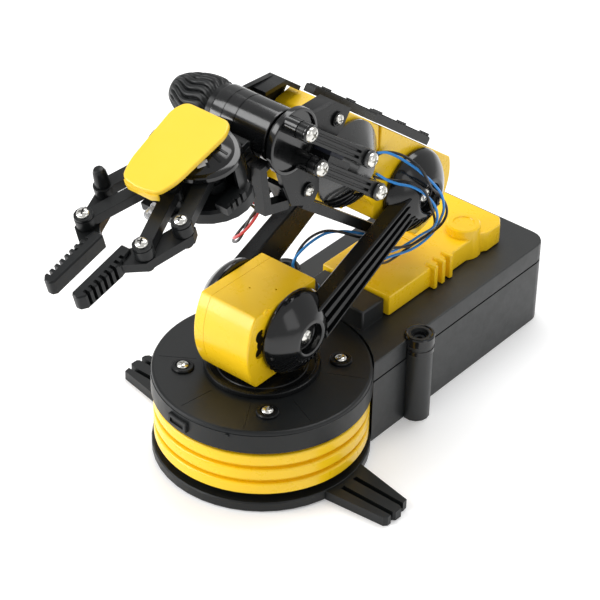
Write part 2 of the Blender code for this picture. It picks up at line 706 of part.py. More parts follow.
def wrist_hub(parent):
    """The wrist gearbox's output: a domed hub with its shaft and the linkage's two rear posts."""
    dy, dz = crank_offset(FOREARM_PITCH)
    inner = HOUSING_HALF_WIDTH + GAP
    profile = [(inner, 0)] + dome_profile(1, inner) + [(HUB_FACE_X, 0)]
    body = turned(profile, "x", (0, 0), 22)
    body = join(body, cylinder((0, 0), 2.6, -8.0, inner + 1, "x", 16))
    body = join(body, prism(gear_outline(12, 1.25), -3.0, 3.0, "x"))
    for sign in (1, -1):
        body = join(body, crank_post((sign * dy, sign * dz), HUB_FACE_X - 7.0, BAR_INNER_X - GAP))
    return finish(body, "wrist_hub", "black", parent)


def link_bar(name, parent):
    """A bar of the wrist linkage, from the hub's post, at the group's origin, to the flange's post."""
    length = GEARBOX_TO_WRIST
    outline = (arc((0, 0), 4.2, -110, 110, 10)
               + [(-8.0, 3.4), (8.0 - length, 3.4)] + arc((-length, 0), 4.2, 70, 290, 10)
               + [(8.0 - length, -3.4), (-8.0, -3.4)])
    bar = prism(outline, BAR_INNER_X, BAR_OUTER_X, "x")
    for offset in (-1.35, 1.35):
        bar = cut(bar, block((BAR_OUTER_X - 1.4, 8.0 - length, offset - 0.55),
                             (BAR_OUTER_X + 1, -8.0, offset + 0.55)))
    for y in (0.0, -length):
        bar = cut(bar, cylinder((y, 0), 2.4, BAR_INNER_X - 1, BAR_OUTER_X + 1, "x", 20))
    return finish(bar, name, "black", parent)


def forearm(parent):
    elbow_outline = to_local(elbow_gearbox_outline())
    wrist_outline = to_local(moved(wrist_gearbox_outline(), W_U))
    for side, word in ((1, "right"), (-1, "left")):
        finish(half_shell(side, elbow_outline), "elbow_housing_%s" % word, "yellow", parent)
        shell = half_shell(side, wrist_outline, (((-W_U, 0), 3.4),)) if side > 0 else half_shell(side,
                wrist_outline)
        finish(shell, "wrist_housing_%s" % word, "yellow", parent)
        wrist_bracket(side, "wrist_bracket_%s" % word, parent)
    top_rail(1, "top_rail_right", parent, 1.0, 54.5)
    top_rail(-1, "top_rail_left", parent, 6.0, 68.0)
    motor_can("elbow_motor", parent, (18.0, 5.0), -13.0, 6.0)
    motor_can("wrist_motor", parent, (-(W_U + 8.8), 13.0), -13.0, 6.0)


# ---------------------------------------------------------------- wrist and gripper

def wrist_drum(parent):
    """The wrist's drum, with the flange for the linkage's front posts. It turns between the brackets."""
    shift = ARM_X - GRIPPER_X
    flange_x = FLANGE_FACE_X + shift
    near = BRACKET_INNER_X + shift
    outer = [(-13.0, 0), (-13.0, DRUM_RADIUS - 0.6), (-12.4, DRUM_RADIUS), (0.8, DRUM_RADIUS),
             (1.3, DRUM_RADIUS - 0.4), (1.8, DRUM_RADIUS),
             (near - 0.9, DRUM_RADIUS), (near - 0.3, DRUM_RADIUS - 0.6), (near - 0.3, 8.0),
             (flange_x - 3.2, 8.0), (flange_x - 3.2, FLANGE_RADIUS - 0.4), (flange_x - 2.8, FLANGE_RADIUS),
             (flange_x - 0.5, FLANGE_RADIUS), (flange_x, FLANGE_RADIUS - 0.5), (flange_x, 0)]
    drum = turned(outer, "x", sides=28)
    drum = cut(drum, cylinder((0, 0), 10.6, -20, near - 3.0, "x", 36))
    dy, dz = crank_offset(GRIPPER_PITCH)
    for sign in (1, -1):
        post = crank_post((sign * dy, sign * dz), flange_x - shift - 1.0, BAR_INNER_X - GAP)
        post.matrix_world = Matrix.Translation(Vector((shift * MM, 0, 0)))
        drum = join(drum, post)
    return finish(drum, "wrist_drum", "black", parent)


def drum_cap(parent):
    """The fluted barrel on the drum's far end. A collar joins them through the left bracket."""
    shift = ARM_X - GRIPPER_X
    start = -BRACKET_OUTER_X + shift - GAP
    end = CAP_END_X + shift
    cap = turned([(-13.3, 0), (-13.3, 7.9), (start, 7.9), (start, 10.6), (start - 0.8, 11.2),
                  (start - 5.0, 12.0),
                  (start - 12.0, 11.2), (start - 19.0, 9.6), (end + 1.6, 7.2), (end, 3.6), (end, 0)], "x",
                  sides=26)
    for index in range(9):
        angle = 2 * math.pi * index / 9
        cy, cz = 12.6 * math.cos(angle), 12.6 * math.sin(angle)
        cap = cut(cap, cylinder((cy, cz), 1.8, end + 3.0, start - 2.0, "x", 6))
    return finish(cap, "drum_cap", "black", parent)


def ellipse(half_x, half_u, centre_u, count=24):
    return [(half_x * math.cos(2 * math.pi * i / count),
             -(centre_u + half_u * math.sin(2 * math.pi * i / count)))
            for i in range(count)]


def slab(outline, low, high):
    """A plate of the gripper: (X, Y) outline, between two levels of V."""
    return prism(outline, low, high, "z")


def gripper_frame(parent):
    """The gripper's body: a saddle on the drum, the domed gear case, a tongue and the links' pivots."""
    saddle = block((-12.3, -24.0, -9.5), (12.3, -6.0, 4.0))
    saddle = cut(saddle, cylinder((0, 0), DRUM_RADIUS + GAP, -30, 30, "x", 48))
    lower = soften(slab(ellipse(26.5, 20.0, 35.0), -12.0, -4.0), 1.2, 1, 40)
    lower = cut(lower, slab(ellipse(24.3, 17.8, 35.0), -20, -6.2))
    lower = cut(lower, block((15.6, -26.5, -20.0), (30.0, -5.0, 0.0)))
    body = join(saddle, lower)
    upper = slab(ellipse(22.8, 17.4, 34.0), -5.0, 11.6)
    upper = soften(upper, 1.0, 1, 40)
    upper = cut(upper, slab(ellipse(21.2, 15.8, 34.0), -3.8, 10.1))
    upper = cut(upper, block((-30, -60.0, -3.8), (30, -33.5, 10.1)))
    body = join(body, upper)
    body = join(body, slab(ellipse(18.6, 14.2, 34.0), 11.0, 14.4))
    body = join(body, slab(ellipse(13.4, 10.2, 34.0), 14.0, 17.4))
    body = join(body, cylinder((13.4, -21.6), 2.2, -9.4, 10.0, "z", 16))
    body = join(body, block((-10.6, -61.0, -6.4), (10.6, -48.0, -2.2)))
    for x in (-GEAR_PIVOT_X, GEAR_PIVOT_X):
        body = join(body, cylinder((x, -GEAR_PIVOT_U), 1.9, -4.5, 10.8, "z", 12))
    for x in (-IDLER_PIVOT_X, IDLER_PIVOT_X):
        pin = turned([(-4.1, 0), (-4.1, 1.9), (9.9, 1.9), (9.9, 3.6), (11.2, 3.4), (11.6, 0)], "z",
                     (x, -IDLER_PIVOT_U), 16)
        collar = cylinder((x, -IDLER_PIVOT_U), 3.2, -3.2, 4.2, "z", 18)
        body = join(body, collar)
        body = join(body, pin)
    for side in (-1, 1):
        x0, x1 = sorted((side * 19.5, side * 26.4))
        rib = block((x0, -46.0, -4.6), (x1, -33.8, -0.6))
        for index in range(3):
            y = -36.6 - index * 3.2
            lo, hi = sorted((side * 24.8, side * 30))
            rib = cut(rib, block((lo, y - 0.7, -8), (hi, y + 0.7, 8)))
        body = join(body, rib)
        window = block((min(side * 11, side * 17), -29.5, 9), (max(side * 11, side * 17), -25.0, 14))
        body = cut(body, window)
        strut = block((side * 7 - 2, -27.3, 11.1), (side * 7 + 2, -23.4, 17.6))
        body = join(body, strut)
    return finish(body, "gripper_frame", "dark", parent)


def gripper_cover(parent):
    """The yellow cover over the gears: narrower to the front, tilted down a little, with a lip."""
    outline = [(-10.4, -66.6), (-13.0, -61.0), (-15.6, -27.0), (-14.2, -22.0), (-11.0, -20.2),
               (11.0, -20.2),
               (14.2, -22.0), (15.6, -27.0), (13.0, -61.0), (10.4, -66.6)]
    outline = [(-7.0, -68.0)] + outline + [(7.0, -68.0)]
    plate = slab(outline, -1.2, 1.2)
    plate = soften(plate, 0.8, 2, 50)
    plate.matrix_world = (Matrix.Translation(Vector((0, -44.0,
                                                     20.0)) * MM) @ Matrix.Rotation(math.radians(4.8), 4,
                                                             "X")
                          @ Matrix.Translation(Vector((0, 44.0, 0)) * MM))
    lip = slab([(-10.2, -66.9), (-7.0, -68.3), (7.0, -68.3), (10.2, -66.9), (9.6, -65.6), (6.6, -66.6),
                (-6.6, -66.6),
                (-9.6, -65.6)], 14.0, 18.2)
    plate = join(plate, lip)
    return finish(plate, "gripper_cover", "yellow", parent)


def led(parent):
    lamp = turned([(-68.5, 0), (-68.3, 1.3), (-67.2, 2.2), (-66.0, 2.5), (-62.4, 2.5), (-62.4, 2.9),
                   (-61.3, 2.9),
                   (-61.3, 0)], "y", (0.0, 0.6), 12)
    return finish(lamp, "led", "lamp", parent)


def eye_bar(x0, u0, x1, u1, half_width, eye, low, high):
    """A flat bar with a round eye at each end, in the gripper's frame."""
    dx, dy = x1 - x0, u0 - u1
    length = math.hypot(dx, dy)
    along, across = (dx / length, dy / length), (-dy / length, dx / length)
    lift = math.degrees(math.asin(half_width / eye))
    flat = arc((0, 0), eye, lift, 360 - lift, 12) + arc((length, 0), eye, lift - 180, 180 - lift, 12)
    outline = [(x0 + a * along[0] + c * across[0], -u0 + a * along[1] + c * across[1]) for a, c in flat]
    return slab(outline, low, high)


def link_end(x, u):
    angle = math.radians(LINK_ANGLE)
    return x + LINK_LENGTH * math.sin(angle), u + LINK_LENGTH * math.cos(angle)


IDLER_PIVOT_U = GEAR_PIVOT_U + REAR_KNUCKLE_SETBACK
IDLER_PIVOT_X = GEAR_PIVOT_X - REAR_KNUCKLE_OFFSET
SECTOR_TEETH = 20
SECTOR_MODULE = 2 * GEAR_PIVOT_X / SECTOR_TEETH


def sector_outline(side):
    """The toothed sector about its pivot: teeth where it meets the other sector, and a plain boss."""
    tooth_angle = 360.0 / SECTOR_TEETH
    phase = 0.0 if side > 0 else tooth_angle / 2
    middle = 166.0 if side > 0 else 14.0
    pitch_radius = SECTOR_TEETH * SECTOR_MODULE / 2
    root = pitch_radius - 1.1 * SECTOR_MODULE
    outer = pitch_radius + 0.8 * SECTOR_MODULE
    teeth = [phase + index * tooth_angle for index in range(-10, 20)]
    teeth = [angle for angle in teeth if abs(angle - middle) < 43]
    points = []
    for angle in teeth:
        for radius, offset in ((root, -0.29), (outer, -0.1), (outer, 0.1), (root, 0.29)):
            turn = math.radians(angle + offset * tooth_angle)
            points.append((radius * math.cos(turn), radius * math.sin(turn)))
    rest_start, rest_end = teeth[-1] + 22, teeth[0] - 22 + 360
    return points + arc((0, 0), 5.4, rest_start, rest_end, 14)


def drive_link(side, name, parent):
    """A finger's driving link: a toothed sector at its pivot, in mesh with the other side's, and an arm."""
    x, u = side * GEAR_PIVOT_X, GEAR_PIVOT_U
    x1, u1 = link_end(GEAR_PIVOT_X, GEAR_PIVOT_U)
    arm = eye_bar(x, u, side * x1, u1, 3.4, 4.6, 4.6, 9.6)
    gear = slab([(x + a, b - u) for a, b in sector_outline(side)], -2.6, 2.2)
    body = join(arm, cylinder((x, -u), 4.2, -2.2, 5.0, "z", 14), gear)
    body = cut(body, cylinder((x, -u), 2.2, -6, 14, "z", 12),
               cylinder((side * x1, -u1), 2.2, -6, 14, "z", 12))
    return finish(body, name, "dark", parent)


def idler_link(side, name, parent):
    x, u = side * IDLER_PIVOT_X, IDLER_PIVOT_U
    x1, u1 = link_end(IDLER_PIVOT_X, IDLER_PIVOT_U)
    body = eye_bar(x, u, side * x1, u1, 3.2, 4.5, 4.6, 9.6)
    body = cut(body, cylinder((x, -u), 2.2, -6, 14, "z", 12),
               cylinder((side * x1, -u1), 2.2, -6, 14, "z", 12))
    return finish(body, name, "dark", parent)


def finger(side, name, parent):
    """A finger: a plate between its two knuckle pins, and a pad that is flat inside and ribbed outside."""
    rear = link_end(GEAR_PIVOT_X, GEAR_PIVOT_U)
    front = link_end(IDLER_PIVOT_X, IDLER_PIVOT_U)
    plate = [(27.4, 68.0), (25.2, 63.8), (20.6, 63.6), (17.6, 66.4), (12.0, 84.0), (6.2, 90.0), (6.2, 96.0),
             (11.6, 97.0), (20.8, 90.6), (21.8, 86.4)]
    body = slab([(side * a, -b) for a, b in plate], -0.6, 4.2)
    pad = [(5.2, 88.4), (5.2, 119.4), (6.6, 121.2), (9.6, 121.2), (11.8, 118.6), (12.4, 98.0), (10.6, 88.4)]
    pad = slab([(side * a, -b) for a, b in pad], -1.9, 6.0)
    pad = soften(pad, 0.6, 1, 40)
    body = join(body, pad)
    for index in range(8):
        u = 93.4 + index * 3.2
        lo, hi = sorted((side * 9.2, side * 15))
        floor = -1.1 if u > 97 else 4.5
        body = cut(body, block((lo, -(u + 1.6), floor), (hi, -u, 9)))
    for (x, u), kind in ((rear, "rear"), (front, "front")):
        up = kind == "rear" and side < 0
        top = 19.4 if up else 11.7
        pin = [(0.0, 0), (0.0, 1.9), (9.9, 1.9), (9.9, 4.4), (11.0, 4.4), (11.0, 3.2)]
        if up:
            pin = [(0.0, 0), (0.0, 1.9), (9.9, 1.9), (9.9, 3.6), (17.0, 3.0), (18.8, 2.2), (top, 0)]
        else:
            pin += [(top, 2.8), (top, 0)]
        body = join(body, turned(pin, "z", (side * x, -u), 12))
        if not up and (side > 0 or kind == "front"):
            peg = [(-4.4, 0), (-3.8, 2.4), (-2.4, 3.4), (3.0, 3.6), (3.0, 0)]
            body = join(body, turned(peg, "z", (side * x, -u), 12))
    return finish(body, name, "dark", parent)


def gripper(parent):
    wrist_drum(parent)
    drum_cap(parent)
    motor = cylinder((0, 0), 9.6, -10.0, 15.0, "x", 20)
    motor = join(motor, cylinder((0, 0), 1.2, -12.4, -9.0, "x", 12))
    finish(motor, "gripper_motor", "steel", parent)
    gripper_frame(parent)
    gripper_cover(parent)
    led(parent)
    for side, word in ((1, "right"), (-1, "left")):
        drive_link(side, "drive_link_%s" % word, parent)
        idler_link(side, "idler_link_%s" % word, parent)
        finger(side, "finger_%s" % word, parent)


# ---------------------------------------------------------------- leads

LEAD_RADIUS = 1.15            # a twisted pair, drawn as one round lead
LEADS = {
    "wrist_lead": ("blue", [
        (15.8, 60.5, 140.2), (16.2, 68.0, 138.0), (20.5, 74.0, 134.5), (27.0, 76.5, 131.0),
        (29.8, 79.5, 126.0),
        (30.6, 86.0, 117.0), (30.4, 92.9, 108.4), (29.4, 98.5, 98.5), (26.5, 101.8, 90.0),
        (21.0, 104.0, 80.0),
        (15.5, 103.5, 72.5), (11.5, 97.0, 67.8), (9.5, 86.0, 67.2), (10.6, 73.0, 71.0), (13.6, 61.0, 78.0),
        (15.2, 53.0, 84.0)]),
    "elbow_lead": ("blue", [
        (15.8, 60.3, 129.1), (17.5, 66.0, 124.8), (21.5, 70.4, 122.8), (26.6, 73.6, 122.4),
        (29.8, 77.4, 119.0),
        (30.6, 82.0, 113.0), (30.4, 87.5, 104.5), (28.6, 92.5, 95.0), (23.8, 97.0, 85.0),
        (18.0, 97.0, 77.5),
        (14.6, 90.0, 74.4), (13.4, 80.0, 76.5), (14.4, 70.0, 82.4), (15.2, 62.0, 88.8)]),
    "shoulder_lead": ("blue", [
        (15.2, 59.0, 95.4), (12.5, 54.5, 97.2), (7.0, 48.5, 99.6), (2.0, 42.0, 100.4), (-0.8, 34.5, 98.5),
        (-2.2, 28.0, 94.4), (-2.6, 25.2, 89.6), (-0.6, 25.4, 85.2), (3.6, 27.8, 82.4), (8.0, 28.8, 81.2),
        (11.4, 26.4, 80.4), (12.2, 21.9, 80.0)]),
    "base_lead": ("blue", [
        (-8.0, 51.1, 53.0), (-8.0, 45.0, 53.2), (-7.2, 37.0, 55.6), (-6.2, 29.0, 59.8),
        (-6.0, 21.9, 62.0)]),
    "gripper_lead": ("red", [
        (-6.0, -19.6, 161.6), (-6.2, -17.0, 152.0), (-6.4, -9.0, 140.5), (-7.2, 1.5, 131.5),
        (-9.6, 6.6, 125.2),
        (-13.4, 6.6, 117.6), (-18.4, 7.0, 109.0), (-24.6, 9.6, 101.0), (-30.4, 14.4, 96.0),
        (-33.6, 22.0, 94.0),
        (-34.0, 31.0, 97.0), (-33.8, 39.0, 103.4), (-33.0, 44.5, 111.5), (-29.6, 46.8, 119.0),
        (-24.2, 46.4, 124.6),
        (-20.6, 44.6, 129.0)]),
}


def catmull_rom(points, spacing=5.6):
    """Points along a smooth line through the given ones."""
    padded = [Vector(points[0]) * 2 - Vector(points[1])] + [Vector(p) for p in points]
    padded.append(Vector(points[-1]) * 2 - Vector(points[-2]))
    line = []
    for i in range(1, len(padded) - 2):
        p0, p1, p2, p3 = padded[i - 1:i + 3]
        count = max(1, round((p2 - p1).length / spacing))
        for step in range(count):
            t = step / count
            line.append(0.5 * (2 * p1 + (p2 - p0) * t + (2 * p0 - 5 * p1 + 4 * p2 - p3) * t * t
                               + (3 * p1 - p0 - 3 * p2 + p3) * t * t * t))
    line.append(Vector(points[-1]))
    return line


def leads():
    for name, (look, points) in LEADS.items():
        line = catmull_rom(points)
        curve = bpy.data.curves.new(name, "CURVE")
        curve.dimensions = "3D"
        curve.bevel_depth = LEAD_RADIUS * MM
        curve.bevel_resolution = 2
        curve.use_fill_caps = True
        spline = curve.splines.new("POLY")
        spline.points.add(len(line) - 1)
        for target, point in zip(spline.points, line):
            target.co = (point.x * MM, point.y * MM, point.z * MM, 1)
        obj = bpy.data.objects.new(name, curve)
        bpy.context.scene.collection.objects.link(obj)
        curve.materials.append(material(*MATERIALS[look]))


def main():
    clear_scene()
    foot_plate()
    yellow_rings()
    top_housing()
    battery_box()
    box_lid()
    battery_bay()
    control_unit()
    base_drive()
    turn = axis_empty("turntable_axis", 0, 0, 0)
    turntable(turn)
    shoulder_axis = axis_empty("shoulder_axis", ARM_X, *SHOULDER_YZ, parent=turn)
    shoulder(shoulder_axis)
    dy = ELBOW_YZ[0] - SHOULDER_YZ[0]
    dz = ELBOW_YZ[1] - SHOULDER_YZ[1]
    pitch = math.degrees(math.atan2(dz, dy))
    arm_axis = axis_empty("upper_arm_axis", ARM_X, *SHOULDER_YZ, pitch=-pitch, parent=turn)
    upper_arm(arm_axis, math.hypot(dy, dz))
    elbow_axis = axis_empty("elbow_axis", ARM_X, *ELBOW_YZ, pitch=FOREARM_PITCH, parent=arm_axis)
    forearm(elbow_axis)
    slope = math.radians(FOREARM_PITCH)
    hub_y = ELBOW_YZ[0] - W_U * math.cos(slope)
    hub_z = ELBOW_YZ[1] + W_U * math.sin(slope)
    wrist_y = ELBOW_YZ[0] - F_U * math.cos(slope)
    wrist_z = ELBOW_YZ[1] + F_U * math.sin(slope)
    hub_axis = axis_empty("wrist_hub_axis", ARM_X, hub_y, hub_z, pitch=FOREARM_PITCH, parent=elbow_axis)
    wrist_hub(hub_axis)
    for sign, word in ((1, "upper"), (-1, "lower")):
        y = hub_y + sign * CRANK * math.cos(math.radians(CRANK_ANGLE))
        z = hub_z + sign * CRANK * math.sin(math.radians(CRANK_ANGLE))
        bar_axis = axis_empty("link_bar_%s_axis" % word, ARM_X, y, z, pitch=FOREARM_PITCH, parent=hub_axis)
        link_bar("link_bar_%s" % word, bar_axis)
    wrist_axis = axis_empty("wrist_axis", GRIPPER_X, wrist_y, wrist_z, pitch=GRIPPER_PITCH,
                            parent=elbow_axis)
    gripper(wrist_axis)
    leads()


main()
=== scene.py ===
"""Looks of the robot arm kit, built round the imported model.

Lengths are in millimetres in each group's own frame and become metres when a mesh is made. In a group's frame
+X is lateral, -Y points along the limb and +Z is square to it."""

import json
import math

import bmesh
import bpy
from mathutils import Matrix, Vector

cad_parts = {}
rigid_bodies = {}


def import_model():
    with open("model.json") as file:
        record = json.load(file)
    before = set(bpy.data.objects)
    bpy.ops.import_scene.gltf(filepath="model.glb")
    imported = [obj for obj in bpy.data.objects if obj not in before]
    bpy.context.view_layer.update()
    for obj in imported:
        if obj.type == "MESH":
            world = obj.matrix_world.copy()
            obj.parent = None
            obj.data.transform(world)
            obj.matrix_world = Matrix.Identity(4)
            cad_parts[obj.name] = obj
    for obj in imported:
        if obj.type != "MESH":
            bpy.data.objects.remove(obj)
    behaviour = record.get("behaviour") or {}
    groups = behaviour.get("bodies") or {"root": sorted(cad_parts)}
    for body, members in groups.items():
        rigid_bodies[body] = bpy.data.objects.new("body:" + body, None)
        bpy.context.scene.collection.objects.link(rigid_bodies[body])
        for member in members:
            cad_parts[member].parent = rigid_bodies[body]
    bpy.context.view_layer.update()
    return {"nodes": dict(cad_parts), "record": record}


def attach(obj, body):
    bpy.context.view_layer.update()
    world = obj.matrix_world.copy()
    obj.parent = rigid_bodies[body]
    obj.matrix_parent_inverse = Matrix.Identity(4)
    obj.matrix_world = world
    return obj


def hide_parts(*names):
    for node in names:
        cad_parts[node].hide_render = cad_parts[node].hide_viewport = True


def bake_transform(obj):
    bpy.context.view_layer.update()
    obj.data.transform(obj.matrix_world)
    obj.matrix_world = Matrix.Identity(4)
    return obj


for startup in list(bpy.data.objects):
    bpy.data.objects.remove(startup)
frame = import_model()

MM = 0.001
NODES = frame["nodes"]
BODY_OF = {node: body for body, nodes in frame["record"]["behaviour"]["bodies"].items() for node in nodes}
SLOT_OF = {part["node"]: part["material_slot"] for part in frame["record"]["subparts"]}

# Shared sizes, as in the CAD model
ARM_X = -2.5
GRIPPER_X = -6.0
SHOULDER_YZ = (3.3, 72.0)
ELBOW_YZ = (89.8, 107.0)
FOREARM_PITCH = 37.4
GRIPPER_PITCH = -16.0
W_U = 63.8                    # elbow axis to wrist gearbox axis
F_U = 118.2                   # elbow axis to wrist axis
BASE_TOP = 46.5
DISC_RADIUS = 52.4
BAND_BOTTOM = 34.4
RINGS_BOTTOM = 9.4
RING_RADIUS = 51.3
CORE_RADIUS = 46.6
NECK_RADIUS = 22.0
RIM_RADIUS = 27.5
RIM_TOP = 49.3
HOUSING_HALF_WIDTH = 16.5
HUB_INNER_X = 16.8
HUB_RADIUS = 21.0
HUB_RIM_X = 18.5
HUB_FACE_X = 29.4
RECESS_RADIUS = 7.6
BRACKET_OUTER_X = 19.5
POST_XY = (42.0, 66.5)        # the screw posts beside the battery box
BOSS_XY = (26.0, 26.5)        # the screws of the round housing
BAR_PIN_RADIUS = 2.0          # the pins that the link bars turn on
BAR_SPAN = (29.5, 33.9)       # where a bar's pin runs, from the arm's middle plane
POST_END_X = 35.2
DRUM_RADIUS = 12.6
FLANGE_RADIUS = 15.6
FLANGE_X = 26.5               # flange face, from the gripper's middle plane
DRUM_NEAR_X = 20.0            # drum's end under the flange
CRANK = 11.2
CRANK_ANGLE = 110.4
WRIST_SHIFT = ARM_X - GRIPPER_X
GEAR_PIVOT = (10.9, 36.5)
IDLER_PIVOT = (5.2, 55.0)
LINK_LENGTH = 34.0
LINK_ANGLE = 20.0


def turn_x(degrees):
    return Matrix.Rotation(math.radians(degrees), 4, "X")


def at(x, y, z):
    return Matrix.Translation(Vector((x, y, z)) * MM)


ARM_PITCH = math.degrees(math.atan2(ELBOW_YZ[1] - SHOULDER_YZ[1], ELBOW_YZ[0] - SHOULDER_YZ[0]))
ARM_LENGTH = math.hypot(ELBOW_YZ[1] - SHOULDER_YZ[1], ELBOW_YZ[0] - SHOULDER_YZ[0])
WORLD = Matrix.Identity(4)
SHOULDER = at(ARM_X, *SHOULDER_YZ)
UPPER_ARM = SHOULDER @ turn_x(ARM_PITCH)
FOREARM = at(ARM_X, *ELBOW_YZ) @ turn_x(-FOREARM_PITCH)
WRIST_HUB = FOREARM @ at(0, -W_U, 0)
WRIST_POINT = FOREARM @ at(0, -F_U, 0)
WRIST = at(GRIPPER_X, WRIST_POINT.translation.y / MM, WRIST_POINT.translation.z / MM) @ turn_x(-GRIPPER_PITCH)


# ---------------------------------------------------------------- materials

def plastic(name, colour, roughness, coat=0.0, grain=2600.0, depth=0.00001, shade=0.10, scuff=0.06,
            specular=0.5):
    """Moulded plastic: a fine grain, a slow change of shade, and roughness that wanders."""
    made = bpy.data.materials.new(name)
    made.use_nodes = True
    tree = made.node_tree
    shader = tree.nodes["Principled BSDF"]
    where = tree.nodes.new("ShaderNodeTexCoord")
    slow = tree.nodes.new("ShaderNodeTexNoise")
    slow.inputs["Scale"].default_value = 22.0
    slow.inputs["Detail"].default_value = 3.0
    tree.links.new(where.outputs["Object"], slow.inputs["Vector"])
    ramp = tree.nodes.new("ShaderNodeValToRGB")
    ramp.color_ramp.elements[0].position = 0.3
    ramp.color_ramp.elements[1].position = 0.7
    ramp.color_ramp.elements[0].color = tuple(c * (1 - shade) for c in colour) + (1,)
    ramp.color_ramp.elements[1].color = tuple(min(1, c * (1 + shade)) for c in colour) + (1,)
    tree.links.new(slow.outputs["Fac"], ramp.inputs["Fac"])
    tree.links.new(ramp.outputs["Color"], shader.inputs["Base Color"])
    marks = tree.nodes.new("ShaderNodeTexNoise")
    marks.inputs["Scale"].default_value = 160.0
    marks.inputs["Detail"].default_value = 5.0
    marks.inputs["Roughness"].default_value = 0.7
    tree.links.new(where.outputs["Object"], marks.inputs["Vector"])
    rough = tree.nodes.new("ShaderNodeMapRange")
    rough.inputs["From Min"].default_value = 0.3
    rough.inputs["From Max"].default_value = 0.7
    rough.inputs["To Min"].default_value = roughness - scuff
    rough.inputs["To Max"].default_value = roughness + scuff
    tree.links.new(marks.outputs["Fac"], rough.inputs["Value"])
    tree.links.new(rough.outputs["Result"], shader.inputs["Roughness"])
    fine = tree.nodes.new("ShaderNodeTexNoise")
    fine.inputs["Scale"].default_value = grain
    fine.inputs["Detail"].default_value = 2.0
    tree.links.new(where.outputs["Object"], fine.inputs["Vector"])
    bump = tree.nodes.new("ShaderNodeBump")
    bump.inputs["Strength"].default_value = 0.35
    bump.inputs["Distance"].default_value = depth
    tree.links.new(fine.outputs["Fac"], bump.inputs["Height"])
    tree.links.new(bump.outputs["Normal"], shader.inputs["Normal"])
    shader.inputs["Specular IOR Level"].default_value = specular
    shader.inputs["Coat Weight"].default_value = coat
    shader.inputs["Coat Roughness"].default_value = 0.12
    return made


def metal(name, colour, roughness, streak=600.0):
    made = plastic(name, colour, roughness, grain=streak, depth=0.00002, shade=0.06, scuff=0.07)
    made.node_tree.nodes["Principled BSDF"].inputs["Metallic"].default_value = 1.0
    return made


def clear(name, colour):
    made = plastic(name, colour, 0.12, coat=0.4, shade=0.03, scuff=0.04, depth=0.00001)
    shader = made.node_tree.nodes["Principled BSDF"]
    shader.inputs["Transmission Weight"].default_value = 0.6
    shader.inputs["IOR"].default_value = 1.5
    return made


LOOKS = {
    "black": plastic("black_plastic", (0.0045, 0.0050, 0.0054), 0.30, coat=0.10, specular=0.2),
    "disc": plastic("satin_black_plastic", (0.0066, 0.0076, 0.0080), 0.40, coat=0.04, depth=0.00002,
                    specular=0.3),
    "box": plastic("box_black_plastic", (0.010, 0.0115, 0.0120), 0.42, coat=0.05, depth=0.00002),
    "dark": plastic("matte_black_plastic", (0.0062, 0.0070, 0.0074), 0.36, coat=0.08, depth=0.00002,
                    specular=0.22),
    "dome": plastic("polished_black_plastic", (0.0042, 0.0046, 0.0050), 0.16, coat=0.35, specular=0.36),
    # A lighter grey copy of the black plastic for the wrist cone: the grey is a painted sheen, standing in for
    # the soft highlight on the cone's smooth upper half.
    "sheen_grey": plastic("grey_plastic_painted_sheen", (0.035, 0.036, 0.036), 0.28, coat=0.6),
    "navy": plastic("navy_plastic", (0.008, 0.011, 0.024), 0.6),
    "yellow": plastic("yellow_plastic", (0.88, 0.555, 0.006), 0.3, coat=0.22, shade=0.035, specular=0.4),
    # A paler, less saturated copy of the yellow plastic for the gripper cover: the paler tone is painted
    # light, standing in for the strong light that washes the cover out.
    "glare_yellow": plastic("yellow_plastic_painted_glare", (0.80, 0.53, 0.03), 0.34, coat=0.15, shade=0.025, specular=0.4),
    "steel": metal("zinc_steel", (0.74, 0.73, 0.69), 0.2),
    "can": metal("motor_can_steel", (0.55, 0.55, 0.54), 0.35),
    "board": plastic("circuit_board", (0.02, 0.13, 0.05), 0.4),
    "gear": plastic("white_nylon", (0.82, 0.81, 0.77), 0.42),
    "cell": plastic("cell_jacket", (0.05, 0.055, 0.06), 0.3, coat=0.4),
    "blue": plastic("blue_insulation", (0.010, 0.22, 0.62), 0.34, shade=0.08),
    "black_wire": plastic("black_insulation", (0.008, 0.008, 0.009), 0.36),
    "red": plastic("red_insulation", (0.48, 0.012, 0.014), 0.36, shade=0.08),
    "lamp": clear("clear_lamp", (0.9, 0.91, 0.93)),
}


# ---------------------------------------------------------------- mesh helpers

def new_object(name, vertices, faces, place=WORLD):
    """An object from vertices in millimetres in a group's frame."""
    mesh = bpy.data.meshes.new(name)
    mesh.from_pydata([tuple(place @ (Vector(v) * MM)) for v in vertices], [], faces)
    bm = bmesh.new()
    bm.from_mesh(mesh)
    bmesh.ops.recalc_face_normals(bm, faces=bm.faces)
    bm.to_mesh(mesh)
    bm.free()
    obj = bpy.data.objects.new(name, mesh)
    bpy.context.scene.collection.objects.link(obj)
    return obj


AXES = {"x": (1, 2, 0), "y": (0, 2, 1), "z": (0, 1, 2)}


def placed(first, second, along, axis):
    point = [0.0, 0.0, 0.0]
    for value, index in zip((first, second, along), AXES[axis]):
        point[index] = value
    return tuple(point)


def prism(outline, low, high, axis="x", place=WORLD):
    count = len(outline)
    vertices = [placed(a, b, level, axis) for level in (low, high) for a, b in outline]
    faces = [tuple(range(count)), tuple(range(2 * count - 1, count - 1, -1))]
    faces += [(i, (i + 1) % count, count + (i + 1) % count, count + i) for i in range(count)]
    return new_object("shape", vertices, faces, place)


def block(low, high, place=WORLD):
    (x0, y0, z0), (x1, y1, z1) = low, high
    return prism([(x0, y0), (x1, y0), (x1, y1), (x0, y1)], z0, z1, "z", place)


